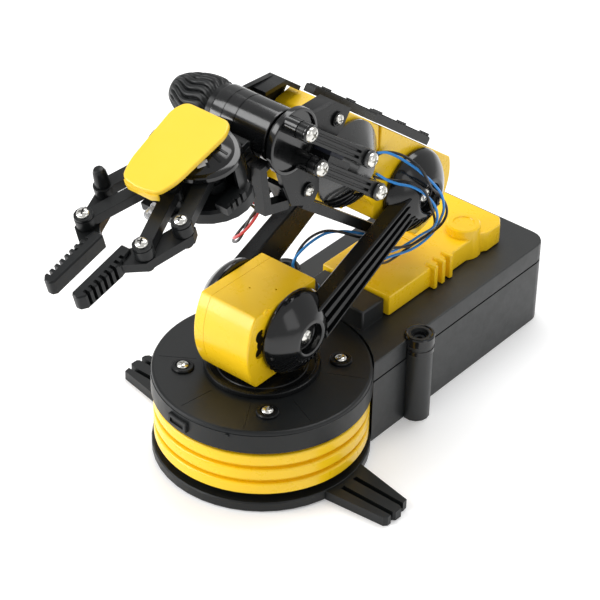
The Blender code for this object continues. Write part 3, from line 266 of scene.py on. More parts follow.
def turned(profile, axis="x", centre=(0.0, 0.0), sides=72, place=WORLD):
    """A solid of revolution from (along, radius) points, closed where it doesn't end on the axis."""
    vertices, rings = [], []
    for along, radius in profile:
        if radius == 0:
            rings.append([len(vertices)])
            vertices.append(placed(centre[0], centre[1], along, axis))
            continue
        ring = []
        for step in range(sides):
            angle = 2 * math.pi * step / sides
            ring.append(len(vertices))
            vertices.append(placed(centre[0] + radius * math.cos(angle), centre[1] + radius * math.sin(angle),
                                   along, axis))
        rings.append(ring)
    pairs = list(zip(rings, rings[1:]))
    if len(rings[0]) > 1 or len(rings[-1]) > 1:
        pairs.append((rings[-1], rings[0]))
    faces = []
    for first, second in pairs:
        if len(first) == len(second) == 1:
            continue
        for step in range(sides):
            following = (step + 1) % sides
            if len(first) == 1:
                faces.append((first[0], second[following], second[step]))
            elif len(second) == 1:
                faces.append((first[step], first[following], second[0]))
            else:
                faces.append((first[step], first[following], second[following], second[step]))
    return new_object("shape", vertices, faces, place)


def cylinder(centre, radius, low, high, axis="x", sides=48, place=WORLD):
    return turned([(low, 0), (low, radius), (high, radius), (high, 0)], axis, centre, sides, place)


def evaluated_mesh(obj):
    bpy.context.view_layer.update()
    graph = bpy.context.evaluated_depsgraph_get()
    mesh = bpy.data.meshes.new_from_object(obj.evaluated_get(graph))
    obj.modifiers.clear()
    obj.data = mesh


def combine(base, others, operation):
    for other in others:
        modifier = base.modifiers.new(operation.lower(), "BOOLEAN")
        modifier.operation = operation
        modifier.solver = "EXACT"
        modifier.object = other
        evaluated_mesh(base)
        bpy.data.objects.remove(other)
    return base


def join(base, *others):
    return combine(base, others, "UNION")


def cut(base, *others):
    return combine(base, others, "DIFFERENCE")


def soften(obj, width=0.8, segments=3, angle=35):
    modifier = obj.modifiers.new("rounding", "BEVEL")
    modifier.width = width * MM
    modifier.segments = segments
    modifier.limit_method = "ANGLE"
    modifier.angle_limit = math.radians(angle)
    evaluated_mesh(obj)
    return obj


def gather(objects):
    """One object from several, each kept as its own closed shell."""
    base = objects[0]
    bm = bmesh.new()
    for obj in objects:
        bm.from_mesh(obj.data)
    bm.to_mesh(base.data)
    bm.free()
    for obj in objects[1:]:
        bpy.data.objects.remove(obj)
    return base


def show(obj, name, look, body, slot=None, smooth=38, nodes=()):
    """Names a piece, gives it its material, and makes it ride on its body."""
    obj.name = name
    obj.data.name = name
    obj.data.materials.clear()
    obj.data.materials.append(LOOKS[look])
    obj.data.shade_smooth()
    obj.data.set_sharp_from_angle(angle=math.radians(smooth))
    even = obj.modifiers.new("even_normals", "WEIGHTED_NORMAL")
    even.keep_sharp = True
    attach(obj, body)
    if nodes:
        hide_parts(*nodes)
        slot = slot or SLOT_OF[nodes[0]]
    return obj


def clean_copy(node):
    """A copy of a CAD node's mesh with its flat faces whole again."""
    source = bmesh.new()
    source.from_mesh(NODES[node].data)
    bmesh.ops.remove_doubles(source, verts=source.verts, dist=2e-6)
    bmesh.ops.dissolve_limit(source, angle_limit=math.radians(0.4), verts=source.verts, edges=source.edges)
    source.verts.index_update()
    vertices = [tuple(v.co / MM) for v in source.verts]
    faces = [[v.index for v in face.verts] for face in source.faces]
    source.free()
    return new_object(node, vertices, faces)


def refined(node, look, width=0.35, segments=2, angle=38):
    """The CAD node with its edges rounded."""
    obj = clean_copy(node)
    if width:
        soften(obj, width, segments, angle)
    return show(obj, node + "_skin", look, BODY_OF[node], nodes=(node,))


def arc(centre, radius, start, end, count):
    steps = [math.radians(start + (end - start) * i / count) for i in range(count + 1)]
    return [(centre[0] + radius * math.cos(a), centre[1] + radius * math.sin(a)) for a in steps]


def smooth_line(points, count=6):
    """Points along a smooth line through the given ones."""
    given = [Vector(p) for p in points]
    padded = [given[0] * 2 - given[1]] + given + [given[-1] * 2 - given[-2]]
    line = []
    for i in range(1, len(padded) - 2):
        p0, p1, p2, p3 = padded[i - 1:i + 3]
        for step in range(count):
            t = step / count
            line.append(0.5 * (2 * p1 + (p2 - p0) * t + (2 * p0 - 5 * p1 + 4 * p2 - p3) * t * t
                               + (3 * p1 - p0 - 3 * p2 + p3) * t * t * t))
    line.append(given[-1])
    return line


def inset_outline(outline, distance):
    count = len(outline)
    area = sum(outline[i - 1][0] * outline[i][1] - outline[i][0] * outline[i - 1][1] for i in range(count))
    sign = 1 if area > 0 else -1
    lines = []
    for i in range(count):
        (x0, y0), (x1, y1) = outline[i], outline[(i + 1) % count]
        length = math.hypot(x1 - x0, y1 - y0)
        nx, ny = -sign * (y1 - y0) / length, sign * (x1 - x0) / length
        lines.append((nx, ny, nx * x0 + ny * y0 + distance))
    points = []
    for i in range(count):
        a, b = lines[i - 1], lines[i]
        det = a[0] * b[1] - a[1] * b[0]
        if abs(det) < 1e-6:
            points.append((outline[i][0] + b[0] * distance, outline[i][1] + b[1] * distance))
            continue
        points.append(((a[2] * b[1] - b[2] * a[1]) / det, (a[0] * b[2] - b[0] * a[2]) / det))
    return points


# ---------------------------------------------------------------- screws

SCREWS = {}


def add_screw(body, place, radius=3.0):
    """A pan-head screw with a cross slot. In its frame +Z is the way the head faces."""
    head = turned([(-0.6, 0), (-0.6, radius), (0.15 * radius, radius), (0.34 * radius, 0.9 * radius),
                   (0.48 * radius, 0.68 * radius), (0.55 * radius, 0.4 * radius), (0.57 * radius, 0)],
                  "z", sides=32, place=place)
    long, thin, floor = 0.58 * radius, 0.13 * radius, 0.2 * radius
    cross = join(block((-long, -thin, floor), (long, thin, radius), place),
                 block((-thin, -long, floor - 0.01), (thin, long, radius + 0.01), place))
    SCREWS.setdefault(body, []).append(cut(head, cross))


def face_x(side):
    """Turns a screw's +Z to the group's +X or -X."""
    return Matrix.Rotation(math.radians(90 * side), 4, "Y") @ Matrix.Rotation(math.radians(23), 4, "Z")


# ---------------------------------------------------------------- base

def base():
    refined("foot_plate", "disc", 0.4)
    step = (BAND_BOTTOM - RINGS_BOTTOM) / 3
    for index in range(3):
        low = RINGS_BOTTOM + index * step + 0.25
        high = RINGS_BOTTOM + (index + 1) * step - 0.25
        inner = CORE_RADIUS + 0.3
        band = high - 1.8
        edge = ([(low + 0.9 + 0.9 * math.sin(math.radians(a)),
                  RING_RADIUS - 0.9 + 0.9 * math.cos(math.radians(a)))
                 for a in range(-90, 1, 15)]
                + [(band - 1.1 + 1.1 * math.sin(math.radians(a)),
                    RING_RADIUS - 1.1 + 1.1 * math.cos(math.radians(a)))
                   for a in range(0, 91, 15)]
                + [(band, RING_RADIUS - 2.4), (high, RING_RADIUS - 2.6)])
        ring = turned([(low, inner)] + edge + [(high, inner)], "z", sides=128)
        ring = cut(ring, block((-36.3, 30, 0), (36.3, 60, 50)))
        name = "yellow_ring_%d" % (index + 1)
        show(ring, name + "_skin", "yellow", "base", nodes=(name,))
    inner = DISC_RADIUS - 2.2
    hole = NECK_RADIUS + 0.4
    top = BASE_TOP
    housing = turned([(BAND_BOTTOM, inner), (BAND_BOTTOM, DISC_RADIUS - 0.5),
                      (BAND_BOTTOM + 0.2, DISC_RADIUS - 0.1),
                      (BAND_BOTTOM + 0.7, DISC_RADIUS), (top - 2.0, DISC_RADIUS),
                      (top - 1.9, DISC_RADIUS - 0.35),
                      (top - 1.3, DISC_RADIUS - 0.35), (top - 0.5, DISC_RADIUS - 0.7),
                      (top - 0.1, DISC_RADIUS - 1.3),
                      (top, DISC_RADIUS - 2.0), (top, hole), (top - 2.6, hole), (top - 2.6, inner)], "z",
                      sides=144)
    clip = soften(block((DISC_RADIUS - 1.2, -6.0, 37.0), (DISC_RADIUS + 1.5, 6.0, 42.6)), 0.5, 2)
    clip = cut(clip, block((DISC_RADIUS + 0.7, -4.4, 38.6), (DISC_RADIUS + 2.0, 4.4, 41.2)))
    clip.data.transform(Matrix.Rotation(math.radians(264.0), 4, "Z"))
    nub = cylinder((0.0, 43.2), 1.1, DISC_RADIUS - 1.0, DISC_RADIUS + 0.7, "x", 20)
    nub.data.transform(Matrix.Rotation(math.radians(293.0), 4, "Z"))
    housing = join(housing, clip, nub)
    for bearing in (28.0, 152.0, 214.0, 262.0, 301.0, 338.0):
        line = block((31.0, -0.12, top - 0.25), (49.0, 0.12, top + 1.0))
        line.data.transform(Matrix.Rotation(math.radians(bearing), 4, "Z"))
        housing = cut(housing, line)
    show(housing, "top_housing_skin", "disc", "base", smooth=30, nodes=("top_housing",))
    bosses = []
    for x in (-BOSS_XY[0], BOSS_XY[0]):
        for y in (-BOSS_XY[1], BOSS_XY[1]):
            bosses.append(turned([(top - 1, 0), (top - 1, 5.5), (top + 0.9, 5.4), (top + 1.4, 4.9),
                                  (top + 1.5, 3.6),
                                  (top + 0.8, 3.3), (top + 0.8, 0)], "z", (x, y), 40))
            add_screw("base", at(x, y, top + 1.0) @ Matrix.Rotation(0.3, 4, "Z"), 2.9)
    show(gather(bosses), "housing_bosses", "black", "base", "black_plastic")
    refined("battery_box", "box", 0.5)
    refined("box_lid", "box", 0.3)
    refined("battery_door", "black", 0.25)
    collars = []
    for x in (-POST_XY[0], POST_XY[0]):
        collars.append(turned([(top - 2.9, 7.0), (top - 2.6, 7.45), (top + 1.3, 7.45), (top + 1.9, 7.1),
                               (top + 2.0, 6.4), (top + 1.6, 5.7), (top - 0.6, 5.2), (top - 0.6, 4.2),
                               (top - 0.2, 3.9), (top - 0.2, 3.1), (top - 1.6, 2.9), (top - 2.9, 2.9)],
                              "z", (x, POST_XY[1]), 48))
        collars.append(turned([(top - 7.6, 6.6), (top - 7.4, 7.3), (top - 5.2, 7.3), (top - 4.9, 6.9),
                               (top - 4.9, 6.6)], "z", (x, POST_XY[1]), 48))
    show(gather(collars), "post_collars", "dome", "base", "black_plastic", smooth=30)
    refined("control_cover", "yellow", 0.45)
    for name in ("battery_cell_1", "battery_cell_2", "battery_cell_3", "battery_cell_4"):
        refined(name, "cell", 0.3)
    for name in ("front_contact", "rear_contact"):
        refined(name, "steel", 0.1)
    refined("base_motor", "can", 0.4)
    refined("control_board", "board", 0.15)
    refined("base_pinion", "gear", 0.12)
    z = BASE_TOP + 12.2
    ridge = []
    for y in (112.5, 118.0):
        ridge.append(soften(block((-17.0, y, z - 0.4), (2.0, y + 1.6, z + 0.7)), 0.3, 2))
    show(gather(ridge), "cover_ridges", "yellow", "base", "yellow_plastic")


# ---------------------------------------------------------------- turntable, shoulder and hubs

def turntable():
    top = RIM_TOP
    low = BASE_TOP + 0.3
    rim = [(low, NECK_RADIUS), (low, RIM_RADIUS), (top - 0.8, RIM_RADIUS), (top - 0.25, RIM_RADIUS - 0.25),
           (top, RIM_RADIUS - 0.8), (top, RIM_RADIUS - 2.0), (top - 0.2, RIM_RADIUS - 2.3),
           (top - 0.9, RIM_RADIUS - 2.6), (top - 0.9, 22.0), (top - 0.5, 21.6), (top - 0.5, 20.8),
           (top - 0.9, 20.4),
           (top - 0.9, 6.0), (30.0, 6.0), (30.0, NECK_RADIUS - 3), (36.0, NECK_RADIUS - 3),
           (36.0, NECK_RADIUS)]
    show(turned(rim, "z", sides=128), "turntable_skin", "black", "turntable", smooth=30, nodes=("turntable",))
    gear = [(r * math.cos(2 * math.pi * (t + o) / 30 - math.pi / 2),
             r * math.sin(2 * math.pi * (t + o) / 30 - math.pi / 2))
            for t in range(30) for r, o in ((23.35, -0.3), (26.63, -0.1), (26.63, 0.1), (23.35, 0.3))]
    ring = cut(prism(gear, 30.2, 35.8, "z"), cylinder((0, 0), 18.6, 20, 40, "z"))
    show(ring, "turntable_gear", "gear", "turntable", "white_nylon")


SEAM_X = -10.4                # where the two halves of a gearbox meet, from the arm's middle plane


def half_shell(side, outline, place, look, node, width=1.0, dimples=(), openings=()):
    """One half of a gearbox, with rounded outer edges and a fine seam."""
    face = side * HOUSING_HALF_WIDTH
    seam = SEAM_X + side * 0.09
    low, high = sorted((seam - side * 8.0, face))
    shell = soften(prism(outline, low, high, "x", place), width, 4, 30)
    low, high = sorted((seam, seam - side * 12.0))
    shell = cut(shell, block((low, -120, -60), (high, 60, 60), place))
    inner_low, inner_high = sorted((seam - side * 3.0, face - side * 1.8))
    shell = cut(shell, prism(inset_outline(outline, 1.8), inner_low, inner_high, "x", place))
    for centre in dimples:
        shell = cut(shell, cylinder(centre, 0.55, 15, 60, "z", 20, place))
    for centre, radius in openings:
        shell = cut(shell, cylinder(centre, radius, 14, 40, "x", 32, place))
    return show(shell, node + "_skin", look, BODY_OF[node], smooth=32, nodes=(node,))


SCALLOPS = (((-21.0, 7.0), 3.4), ((-20.4, 2.6), 3.2), ((-21.0, -2.0), 3.4))


def shoulder():
    outline = [(18.0, -20.8), (18.0, 18.6)] + [(-a, b) for a, b in arc((-6.0, -0.6), 36.0, 32.5, -34.5, 22)]
    for side, word in ((1, "right"), (-1, "left")):
        dimples = ((-1.5, -8.0), (8.5, -1.0)) if side > 0 else ()
        half_shell(side, outline, SHOULDER, "yellow", "shoulder_housing_%s" % word, 0.9, dimples,
                   SCALLOPS if side > 0 else ())
    backing = prism([(-27.0, -7.5), (-14.0, -7.5), (-14.0, 12.5), (-27.0, 12.5)], 13.6, 14.5, "x", SHOULDER)
    show(backing, "shoulder_backing", "dark", "turntable", "black_plastic")
    eyelet = turned([(HOUSING_HALF_WIDTH - 0.3, 2.3), (HOUSING_HALF_WIDTH + 0.35, 2.2),
                     (HOUSING_HALF_WIDTH + 0.35, 1.5), (HOUSING_HALF_WIDTH - 0.3, 1.4)], "x", (-17.0, 18.0),
                     32,
                    SHOULDER)
    show(eyelet, "shoulder_eyelet", "yellow", "turntable", "yellow_plastic", smooth=30)
    refined("shoulder_motor", "can", 0.4)


def dome_line(side, low_share=0.0):
    """The hub's domed outside as (along, radius), smooth from rim to face."""
    given = [(HUB_RIM_X, 21.0), (21.4, 19.8), (24.8, 16.6), (27.6, 12.8), (HUB_FACE_X, 9.4)]
    line = [tuple(p) for p in smooth_line([Vector((a, r, 0)) for a, r in given], 5)]
    return [(side * a, r) for a, r, _ in line if a >= HUB_RIM_X + low_share]


def rib(side, angle, place, reach=1.0, width=0.55, proud=0.55, x_shift=0.0):
    """A thin fin that follows the dome from its rim towards its face."""
    line = dome_line(side)
    line = line[1:max(3, int(len(line) * reach))]
    radial = Vector((0, math.cos(angle), math.sin(angle)))
    tangent = Vector((0, -math.sin(angle), math.cos(angle)))
    vertices, faces = [], []
    for along, radius in line:
        for high in (-0.8, proud):
            for across in (-width, width):
                point = Vector((along + x_shift + side * high * 0.5, 0, 0)) + radial * (radius + high * 0.8)
                vertices.append(tuple(point + tangent * across))
    for i in range(len(line) - 1):
        a, b = 4 * i, 4 * i + 4
        faces += [(a, a + 1, b + 1, b), (a + 2, b + 2, b + 3, a + 3), (a, b, b + 2, a + 2),
                  (a + 1, a + 3, b + 3, b + 1)]
    last = 4 * (len(line) - 1)
    faces += [(0, 2, 3, 1), (last, last + 1, last + 3, last + 2)]
    return new_object("rib", vertices, faces, place)


def hub(side, node, place, middle=0.0):
    """A domed hub: glossy outside, fins on its lower half, and a recess with the screw that holds it."""
    dome = dome_line(side)
    profile = [(side * HUB_INNER_X, 2.9), (side * HUB_INNER_X, HUB_RADIUS - 1.0),
               (side * (HUB_INNER_X + 0.3), HUB_RADIUS - 0.3),
               (side * (HUB_INNER_X + 0.9), HUB_RADIUS)] + dome
    profile += [(side * (HUB_FACE_X + 0.0), 8.3), (side * (HUB_FACE_X - 0.3), RECESS_RADIUS),
                (side * (HUB_FACE_X - 4.2), RECESS_RADIUS - 0.6),
                (side * (HUB_FACE_X - 4.5), RECESS_RADIUS - 1.0),
                (side * (HUB_FACE_X - 4.5), 2.9)]
    body = BODY_OF[node]
    show(turned(profile, "x", sides=80, place=place), node + "_skin", "dome", body, smooth=30, nodes=(node,))
    fins = [rib(side, math.radians(middle + 13 * k), place, 0.86) for k in range(-4, 5)]
    show(gather(fins), node + "_fins", "black", body, "black_plastic")
    add_screw(body, place @ at(side * (HUB_FACE_X - 4.4), 0, 0) @ face_x(side), 3.9)


def upper_arm():
    elbow = UPPER_ARM @ at(0, ARM_LENGTH, 0)
    for side, word in ((1, "right"), (-1, "left")):
        hub(side, "shoulder_hub_%s" % word, UPPER_ARM, -105 - ARM_PITCH)
        hub(side, "elbow_hub_%s" % word, elbow, -95 - ARM_PITCH)
        refined("upper_arm_beam_%s" % word, "black", 0.3)
    for name in ("shoulder_shaft", "elbow_shaft"):
        refined(name, "can", 0.15)


# ---------------------------------------------------------------- forearm

def local(outline, du=0.0):
    return [(-(u + du), v) for u, v in outline]


RAIL_ENDS = {1: (1.0, 54.5), -1: (6.0, 68.0)}


def forearm():
    nose = arc((-8.2, 0.9), 26.0, 127.5, 232, 26)
    elbow = local(nose + [(20.0, -19.8), (24.0, -14.0), (36.0, -11.0), (38.6, 0.0), (39.2, 11.5),
                          (46.0, 21.5)])
    wrist = local([(15.7, 21.4), (-15.2, 21.4), (-23.5, 11.7), (-16.0, -20.6), (10.2, -20.8), (20.0, -12.0),
                   (25.0, 0.0), (22.5, 14.0)], W_U)
    for side, word in ((1, "right"), (-1, "left")):
        half_shell(side, elbow, FOREARM, "yellow", "elbow_housing_%s" % word, 0.8)
        half_shell(side, wrist, FOREARM, "yellow", "wrist_housing_%s" % word, 0.8)
        refined("wrist_bracket_%s" % word, "black", 0.3)
        refined("top_rail_%s" % word, "black", 0.25)
        teeth = []
        start, end = RAIL_ENDS[side]
        for index in range(int((end - start) / 2.6)):
            u = start + 1.4 + index * 2.6
            x0, x1 = sorted((side * 11.0, side * 16.0))
            teeth.append(block((x0, -(u + 1.3), 25.6), (x1, -u, 26.5 if index % 9 else 27.3), FOREARM))
        show(gather(teeth), "rail_teeth_%s" % word, "black", "forearm", "black_plastic")
        for u, v in ((24.9, 16.3), (23.6, -17.6)):
            place = FOREARM @ at(side * (BRACKET_OUTER_X + 1.0), -(W_U + u), v) @ face_x(side)
            add_screw("forearm", place, 2.7)
    add_screw("forearm", FOREARM @ at(BRACKET_OUTER_X + 0.1, -(W_U + 43.6), -1.9) @ face_x(1), 2.5)
    refined("elbow_motor", "can", 0.4)
    refined("wrist_motor", "can", 0.4)
    block_low = (19.2, -(W_U + 33.0), -5.2)
    pad = soften(block(block_low, (28.9, -(W_U + 21.8), 4.6), FOREARM), 0.5, 2)
    show(pad, "guide_block", "navy", "forearm", "matte_black_plastic")


def crank_places(pitch):
    angle = math.radians(CRANK_ANGLE + pitch)
    dy, dz = CRANK * math.cos(angle), CRANK * math.sin(angle)
    return ((dy, dz), (-dy, -dz))


def crank_post(root, root_radius, shoulder_x, centre, place, shift=0.0):
    """A post of the linkage, from its root along X, with the narrower pin that a bar turns on."""
    start, end = (x + shift for x in BAR_SPAN)
    tip = POST_END_X + shift
    return turned([(root, 0), (root, root_radius), (shoulder_x, 4.2), (start, BAR_PIN_RADIUS),
                   (end, BAR_PIN_RADIUS), (end, 4.3), (tip - 0.6, 4.3), (tip, 3.9), (tip, 0)], "x", centre, 40,
                  place)


def wrist_linkage():
    """The wrist gearbox's output: a cone with its posts, and the two bars."""
    profile = [(HUB_INNER_X, 0), (HUB_INNER_X, HUB_RADIUS - 1.0), (HUB_INNER_X + 0.6, HUB_RADIUS - 0.2),
               (HUB_RIM_X, HUB_RADIUS - 0.2), (19.2, 20.2), (20.2, 18.6), (27.6, 8.4), (28.8, 7.2),
               (HUB_FACE_X, 6.0),
               (HUB_FACE_X, 0)]
    cone = turned(profile, "x", sides=80, place=WRIST_HUB)
    posts = []
    for centre in crank_places(FOREARM_PITCH):
        posts.append(crank_post(HUB_FACE_X - 7, 4.2, BAR_SPAN[0] - 0.1, centre, WRIST_HUB))
        add_screw("wrist_hub", WRIST_HUB @ at(POST_END_X + 0.1, *centre) @ face_x(1), 3.5)
    cone = join(cone, *posts)
    # The grey of the cone and its posts is a painted sheen, not the plastic's own colour.
    show(cone, "wrist_hub_skin", "sheen_grey", "wrist_hub", smooth=30, nodes=("wrist_hub",))
    fins = [rib(1, math.radians(-95 + FOREARM_PITCH + 12 * k), WRIST_HUB, 0.9, 0.5, 0.7) for k in range(-4,
            5)]
    show(gather(fins), "wrist_hub_fins", "black", "wrist_hub", "black_plastic")
    for word in ("upper", "lower"):
        refined("link_bar_%s" % word, "black", 0.25)


# ---------------------------------------------------------------- wrist drum and gripper

def wrist_drum():
    r = DRUM_RADIUS
    outer = [(-13.0, 10.6), (-13.0, r - 0.8), (-12.6, r - 0.2), (-12.0, r), (-6.2, r), (-6.1, r - 0.25),
             (-5.8, r - 0.25),
             (-5.7, r), (0.9, r), (1.0, r - 0.3), (1.3, r - 0.3), (1.4, r), (DRUM_NEAR_X - 1.2, r),
             (DRUM_NEAR_X - 0.5, r - 0.3), (DRUM_NEAR_X - 0.3, r - 0.8), (DRUM_NEAR_X - 0.3, 8.0),
             (FLANGE_X - 3.2, 8.0), (FLANGE_X - 3.2, FLANGE_RADIUS - 0.4), (FLANGE_X - 2.8, FLANGE_RADIUS),
             (FLANGE_X - 0.6, FLANGE_RADIUS), (FLANGE_X - 0.15, FLANGE_RADIUS - 0.2),
             (FLANGE_X, FLANGE_RADIUS - 0.6),
             (FLANGE_X, FLANGE_RADIUS - 1.5), (FLANGE_X - 1.2, FLANGE_RADIUS - 1.8), (FLANGE_X - 1.2, 0),
             (DRUM_NEAR_X - 3.0, 0), (DRUM_NEAR_X - 3.0, 10.6)]
    drum = turned(outer, "x", sides=96, place=WRIST)
    posts = []
    for centre in crank_places(GRIPPER_PITCH):
        posts.append(crank_post(FLANGE_X - 1.8, 4.3, BAR_SPAN[0] + WRIST_SHIFT, centre, WRIST, WRIST_SHIFT))
        add_screw("gripper", WRIST @ at(POST_END_X + 0.1 + WRIST_SHIFT, *centre) @ face_x(1), 3.5)
    drum = join(drum, *posts)
    show(drum, "wrist_drum_skin", "dome", "gripper", smooth=30, nodes=("wrist_drum",))
    add_screw("gripper", WRIST @ at(FLANGE_X - 1.1, 6.6, -2.6) @ face_x(1), 2.2)


def fluted_barrel():
    """The barrel on the drum's far end: wavy flutes that lean round it, and a collar through the bracket."""
    start, end = -16.3, -41.0
    line = smooth_line([Vector(p) for p in ((start, 10.9, 0), (start - 3, 12.2, 0), (start - 9, 12.1, 0),
                                            (start - 16, 10.6, 0), (start - 21, 8.6, 0), (end, 6.4, 0))], 6)
    sides = 252
    vertices, faces = [(line[0].x, 0, 0)], []
    for point in line:
        share = (start - point.x) / (start - end)
        for step in range(sides):
            angle = 2 * math.pi * step / sides
            lean = 0.10 * math.sin(9.0 * share) + 0.25 * share
            wave = abs(math.sin(10.5 * (angle + lean)))
            depth = 1.9 * math.sin(math.pi * min(1, max(0.06, share * 1.1))) ** 0.4
            radius = point.y + 0.5 - depth * (1 - wave) ** 1.5
            vertices.append((point.x, radius * math.cos(angle), radius * math.sin(angle)))
    vertices.append((line[-1].x, 0, 0))
    for row in range(len(line) - 1):
        for step in range(sides):
            a = 1 + row * sides + step
            b = 1 + row * sides + (step + 1) % sides
            faces.append((a, b, b + sides, a + sides))
    tail = 1 + (len(line) - 1) * sides
    for step in range(sides):
        following = (step + 1) % sides
        faces.append((0, 1 + following, 1 + step))
        faces.append((len(vertices) - 1, tail + step, tail + following))
    barrel = new_object("barrel", vertices, faces, WRIST)
    collar = turned([(-13.3, 0), (-13.3, 7.9), (start - 1.0, 7.9), (start - 1.0, 0)], "x", sides=48,
                    place=WRIST)
    show(gather([barrel, collar]), "drum_cap_skin", "dark", "gripper", smooth=50, nodes=("drum_cap",))


def cover():
    """The yellow cover over the gears: round corners, a slight tilt and a turned-down front lip."""
    corners = [(-10.4, -66.6, 3.0), (-13.6, -58.0, 12.0), (-15.8, -27.0, 5.0), (-12.4, -20.4, 4.5),
               (12.4, -20.4, 4.5), (15.8, -27.0, 5.0), (13.6, -58.0, 12.0), (10.4, -66.6, 3.0),
               (0.0, -68.6, 12.0)]
    outline = []
    count = len(corners)
    for i in range(count):
        here = Vector(corners[i][:2])
        before = Vector(corners[i - 1][:2])
        after = Vector(corners[(i + 1) % count][:2])
        reach = min(corners[i][2], 0.45 * (before - here).length, 0.45 * (after - here).length)
        first = here + (before - here).normalized() * reach
        last = here + (after - here).normalized() * reach
        for step in range(7):
            t = step / 6
            outline.append(tuple(first * (1 - t) ** 2 + here * 2 * t * (1 - t) + last * t ** 2))
    plate = prism(outline, -1.2, 1.2, "z")
    plate = soften(plate, 0.9, 4, 50)
    tilt = (at(0, -44.0, 20.0) @ turn_x(4.8) @ at(0, 44.0, 0))
    plate.data.transform(WRIST @ tilt)
    lip = prism([(-10.0, -66.6), (-6.5, -68.2), (6.5, -68.2), (10.0, -66.6), (9.2, -65.2), (6.0, -66.4),
                 (-6.0, -66.4), (-9.2, -65.2)], 14.2, 17.6, "z", WRIST)
    plate = gather([plate, soften(lip, 0.4, 2)])
    # The cover's paler yellow is painted light, standing in for the strong light that falls on it.
    show(plate, "gripper_cover_skin", "glare_yellow", "gripper", smooth=40, nodes=("gripper_cover",))


def link_end(pivot):
    angle = math.radians(LINK_ANGLE)
    return pivot[0] + LINK_LENGTH * math.sin(angle), pivot[1] + LINK_LENGTH * math.cos(angle)


CASE_HALF = (22.8, 17.4)      # the gear case's half widths, along X and Y
CASE_Y = -34.0
DOME_HALF = (22.6, 17.2)      # where its ribs and windows stand


def on_dome(share, angle, z):
    """A point on the case's dome, at a share of its half widths."""
    return DOME_HALF[0] * share * math.cos(angle), CASE_Y + DOME_HALF[1] * share * math.sin(angle), z


def gripper_case():
    """The ribbed dome over the gears with its two windows, and the saddle's bars and corner post."""
    profile = [(10.4, 0), (10.4, 1.0), (12.2, 1.0), (12.7, 0.97), (13.0, 0.88), (14.4, 0.82), (17.3, 0.55),
               (17.7, 0.50), (17.7, 0)]
    dome = turned([(z, CASE_HALF[0] * share) for z, share in profile], "z", (0, 0), 96)
    for vertex in dome.data.vertices:
        vertex.co.y = vertex.co.y * CASE_HALF[1] / CASE_HALF[0] + CASE_Y * MM
    dome.data.transform(WRIST)
    show(dome, "gear_dome", "dome", "gripper", "matte_black_plastic", smooth=30)
    ribs = []
    for bearing in (-160, -130, -100, -74, -30, -8, 14):
        angle = math.radians(bearing)
        x0, y0, z0 = on_dome(0.80, angle, 14.3)
        x1, y1, z1 = on_dome(0.56, angle, 17.5)
        across = Vector((math.sin(angle), -math.cos(angle), 0)) * 0.55
        corners = [Vector((x0, y0, z0 - 1.0)), Vector((x0, y0, z0 + 0.6)), Vector((x1, y1, z1 + 0.3)),
                   Vector((x1, y1, z1 - 1.2))]
        vertices = [tuple(c - across) for c in corners] + [tuple(c + across) for c in corners]
        ribs.append(new_object("rib", vertices, [(3, 2, 1, 0), (4, 5, 6, 7), (0, 1, 5, 4), (1, 2, 6, 5),
                                                 (2, 3, 7, 6), (3, 0, 4, 7)], WRIST))
    for side in (-1, 1):
        for y in (-22.2, -18.9, -15.6):
            x0, x1 = sorted((side * 2.5, side * 12.2))
            ribs.append(soften(block((x0, y - 0.8, 3.4), (x1, y + 0.8, 5.4), WRIST), 0.3, 2))
        for z in (-5.0, -1.6, 1.8, 5.2):
            x0, x1 = sorted((side * 12.0, side * 13.0))
            ribs.append(soften(block((x0, -22.6, z - 0.6), (x1, -13.8, z + 0.6), WRIST), 0.25, 2))
    ribs.append(turned([(-9.5, 0), (-9.5, 2.35), (8.4, 2.35), (9.8, 1.8), (10.5, 0.9), (10.6, 0)], "z",
                       (13.4, -21.6), 32, WRIST))
    show(gather(ribs), "case_ribs", "black", "gripper", "matte_black_plastic", smooth=30)
    for side in (-1, 1):
        angle = math.radians(-90 + side * 52)
        turn = Matrix.Rotation(angle + math.radians(90), 4, "Z") @ Matrix.Rotation(math.radians(43), 4, "X")
        window = soften(block((-2.5, -1.5, -0.5), (2.5, 1.5, 0.35)), 0.3, 2)
        window = cut(window, block((-1.9, -0.2, 0.1), (1.2, 0.5, 1.0)))
        window.data.transform(WRIST @ at(*on_dome(0.70, angle, 15.8)) @ turn)
        show(window, "case_window_%s" % ("left" if side < 0 else "right"), "can", "gripper", "zinc_steel")


def gripper():
    refined("gripper_frame", "dark", 0.3)
    refined("gripper_motor", "can", 0.4)
    rear, front = link_end(GEAR_PIVOT), link_end(IDLER_PIVOT)
    for side, word in ((1, "right"), (-1, "left")):
        for name in ("drive_link_%s", "idler_link_%s", "finger_%s"):
            refined(name % word, "dark", 0.25)
        body = "finger_%s" % word
        add_screw(body, WRIST @ at(side * front[0], -front[1], 11.1) @ Matrix.Rotation(0.5, 4, "Z"), 3.0)
        if side > 0:
            add_screw(body, WRIST @ at(side * rear[0], -rear[1], 11.1) @ Matrix.Rotation(0.2, 4, "Z"), 3.0)
    gripper_case()
    lens = turned([(-68.5, 0), (-68.45, 0.8), (-68.1, 1.6), (-67.5, 2.2), (-66.6, 2.5), (-62.4, 2.5),
                   (-62.4, 2.9),
                   (-61.3, 2.9), (-61.3, 0)], "y", (0.0, 0.6), 40, WRIST)
    show(lens, "led_skin", "lamp", "gripper", smooth=30, nodes=("led",))


# ---------------------------------------------------------------- leads

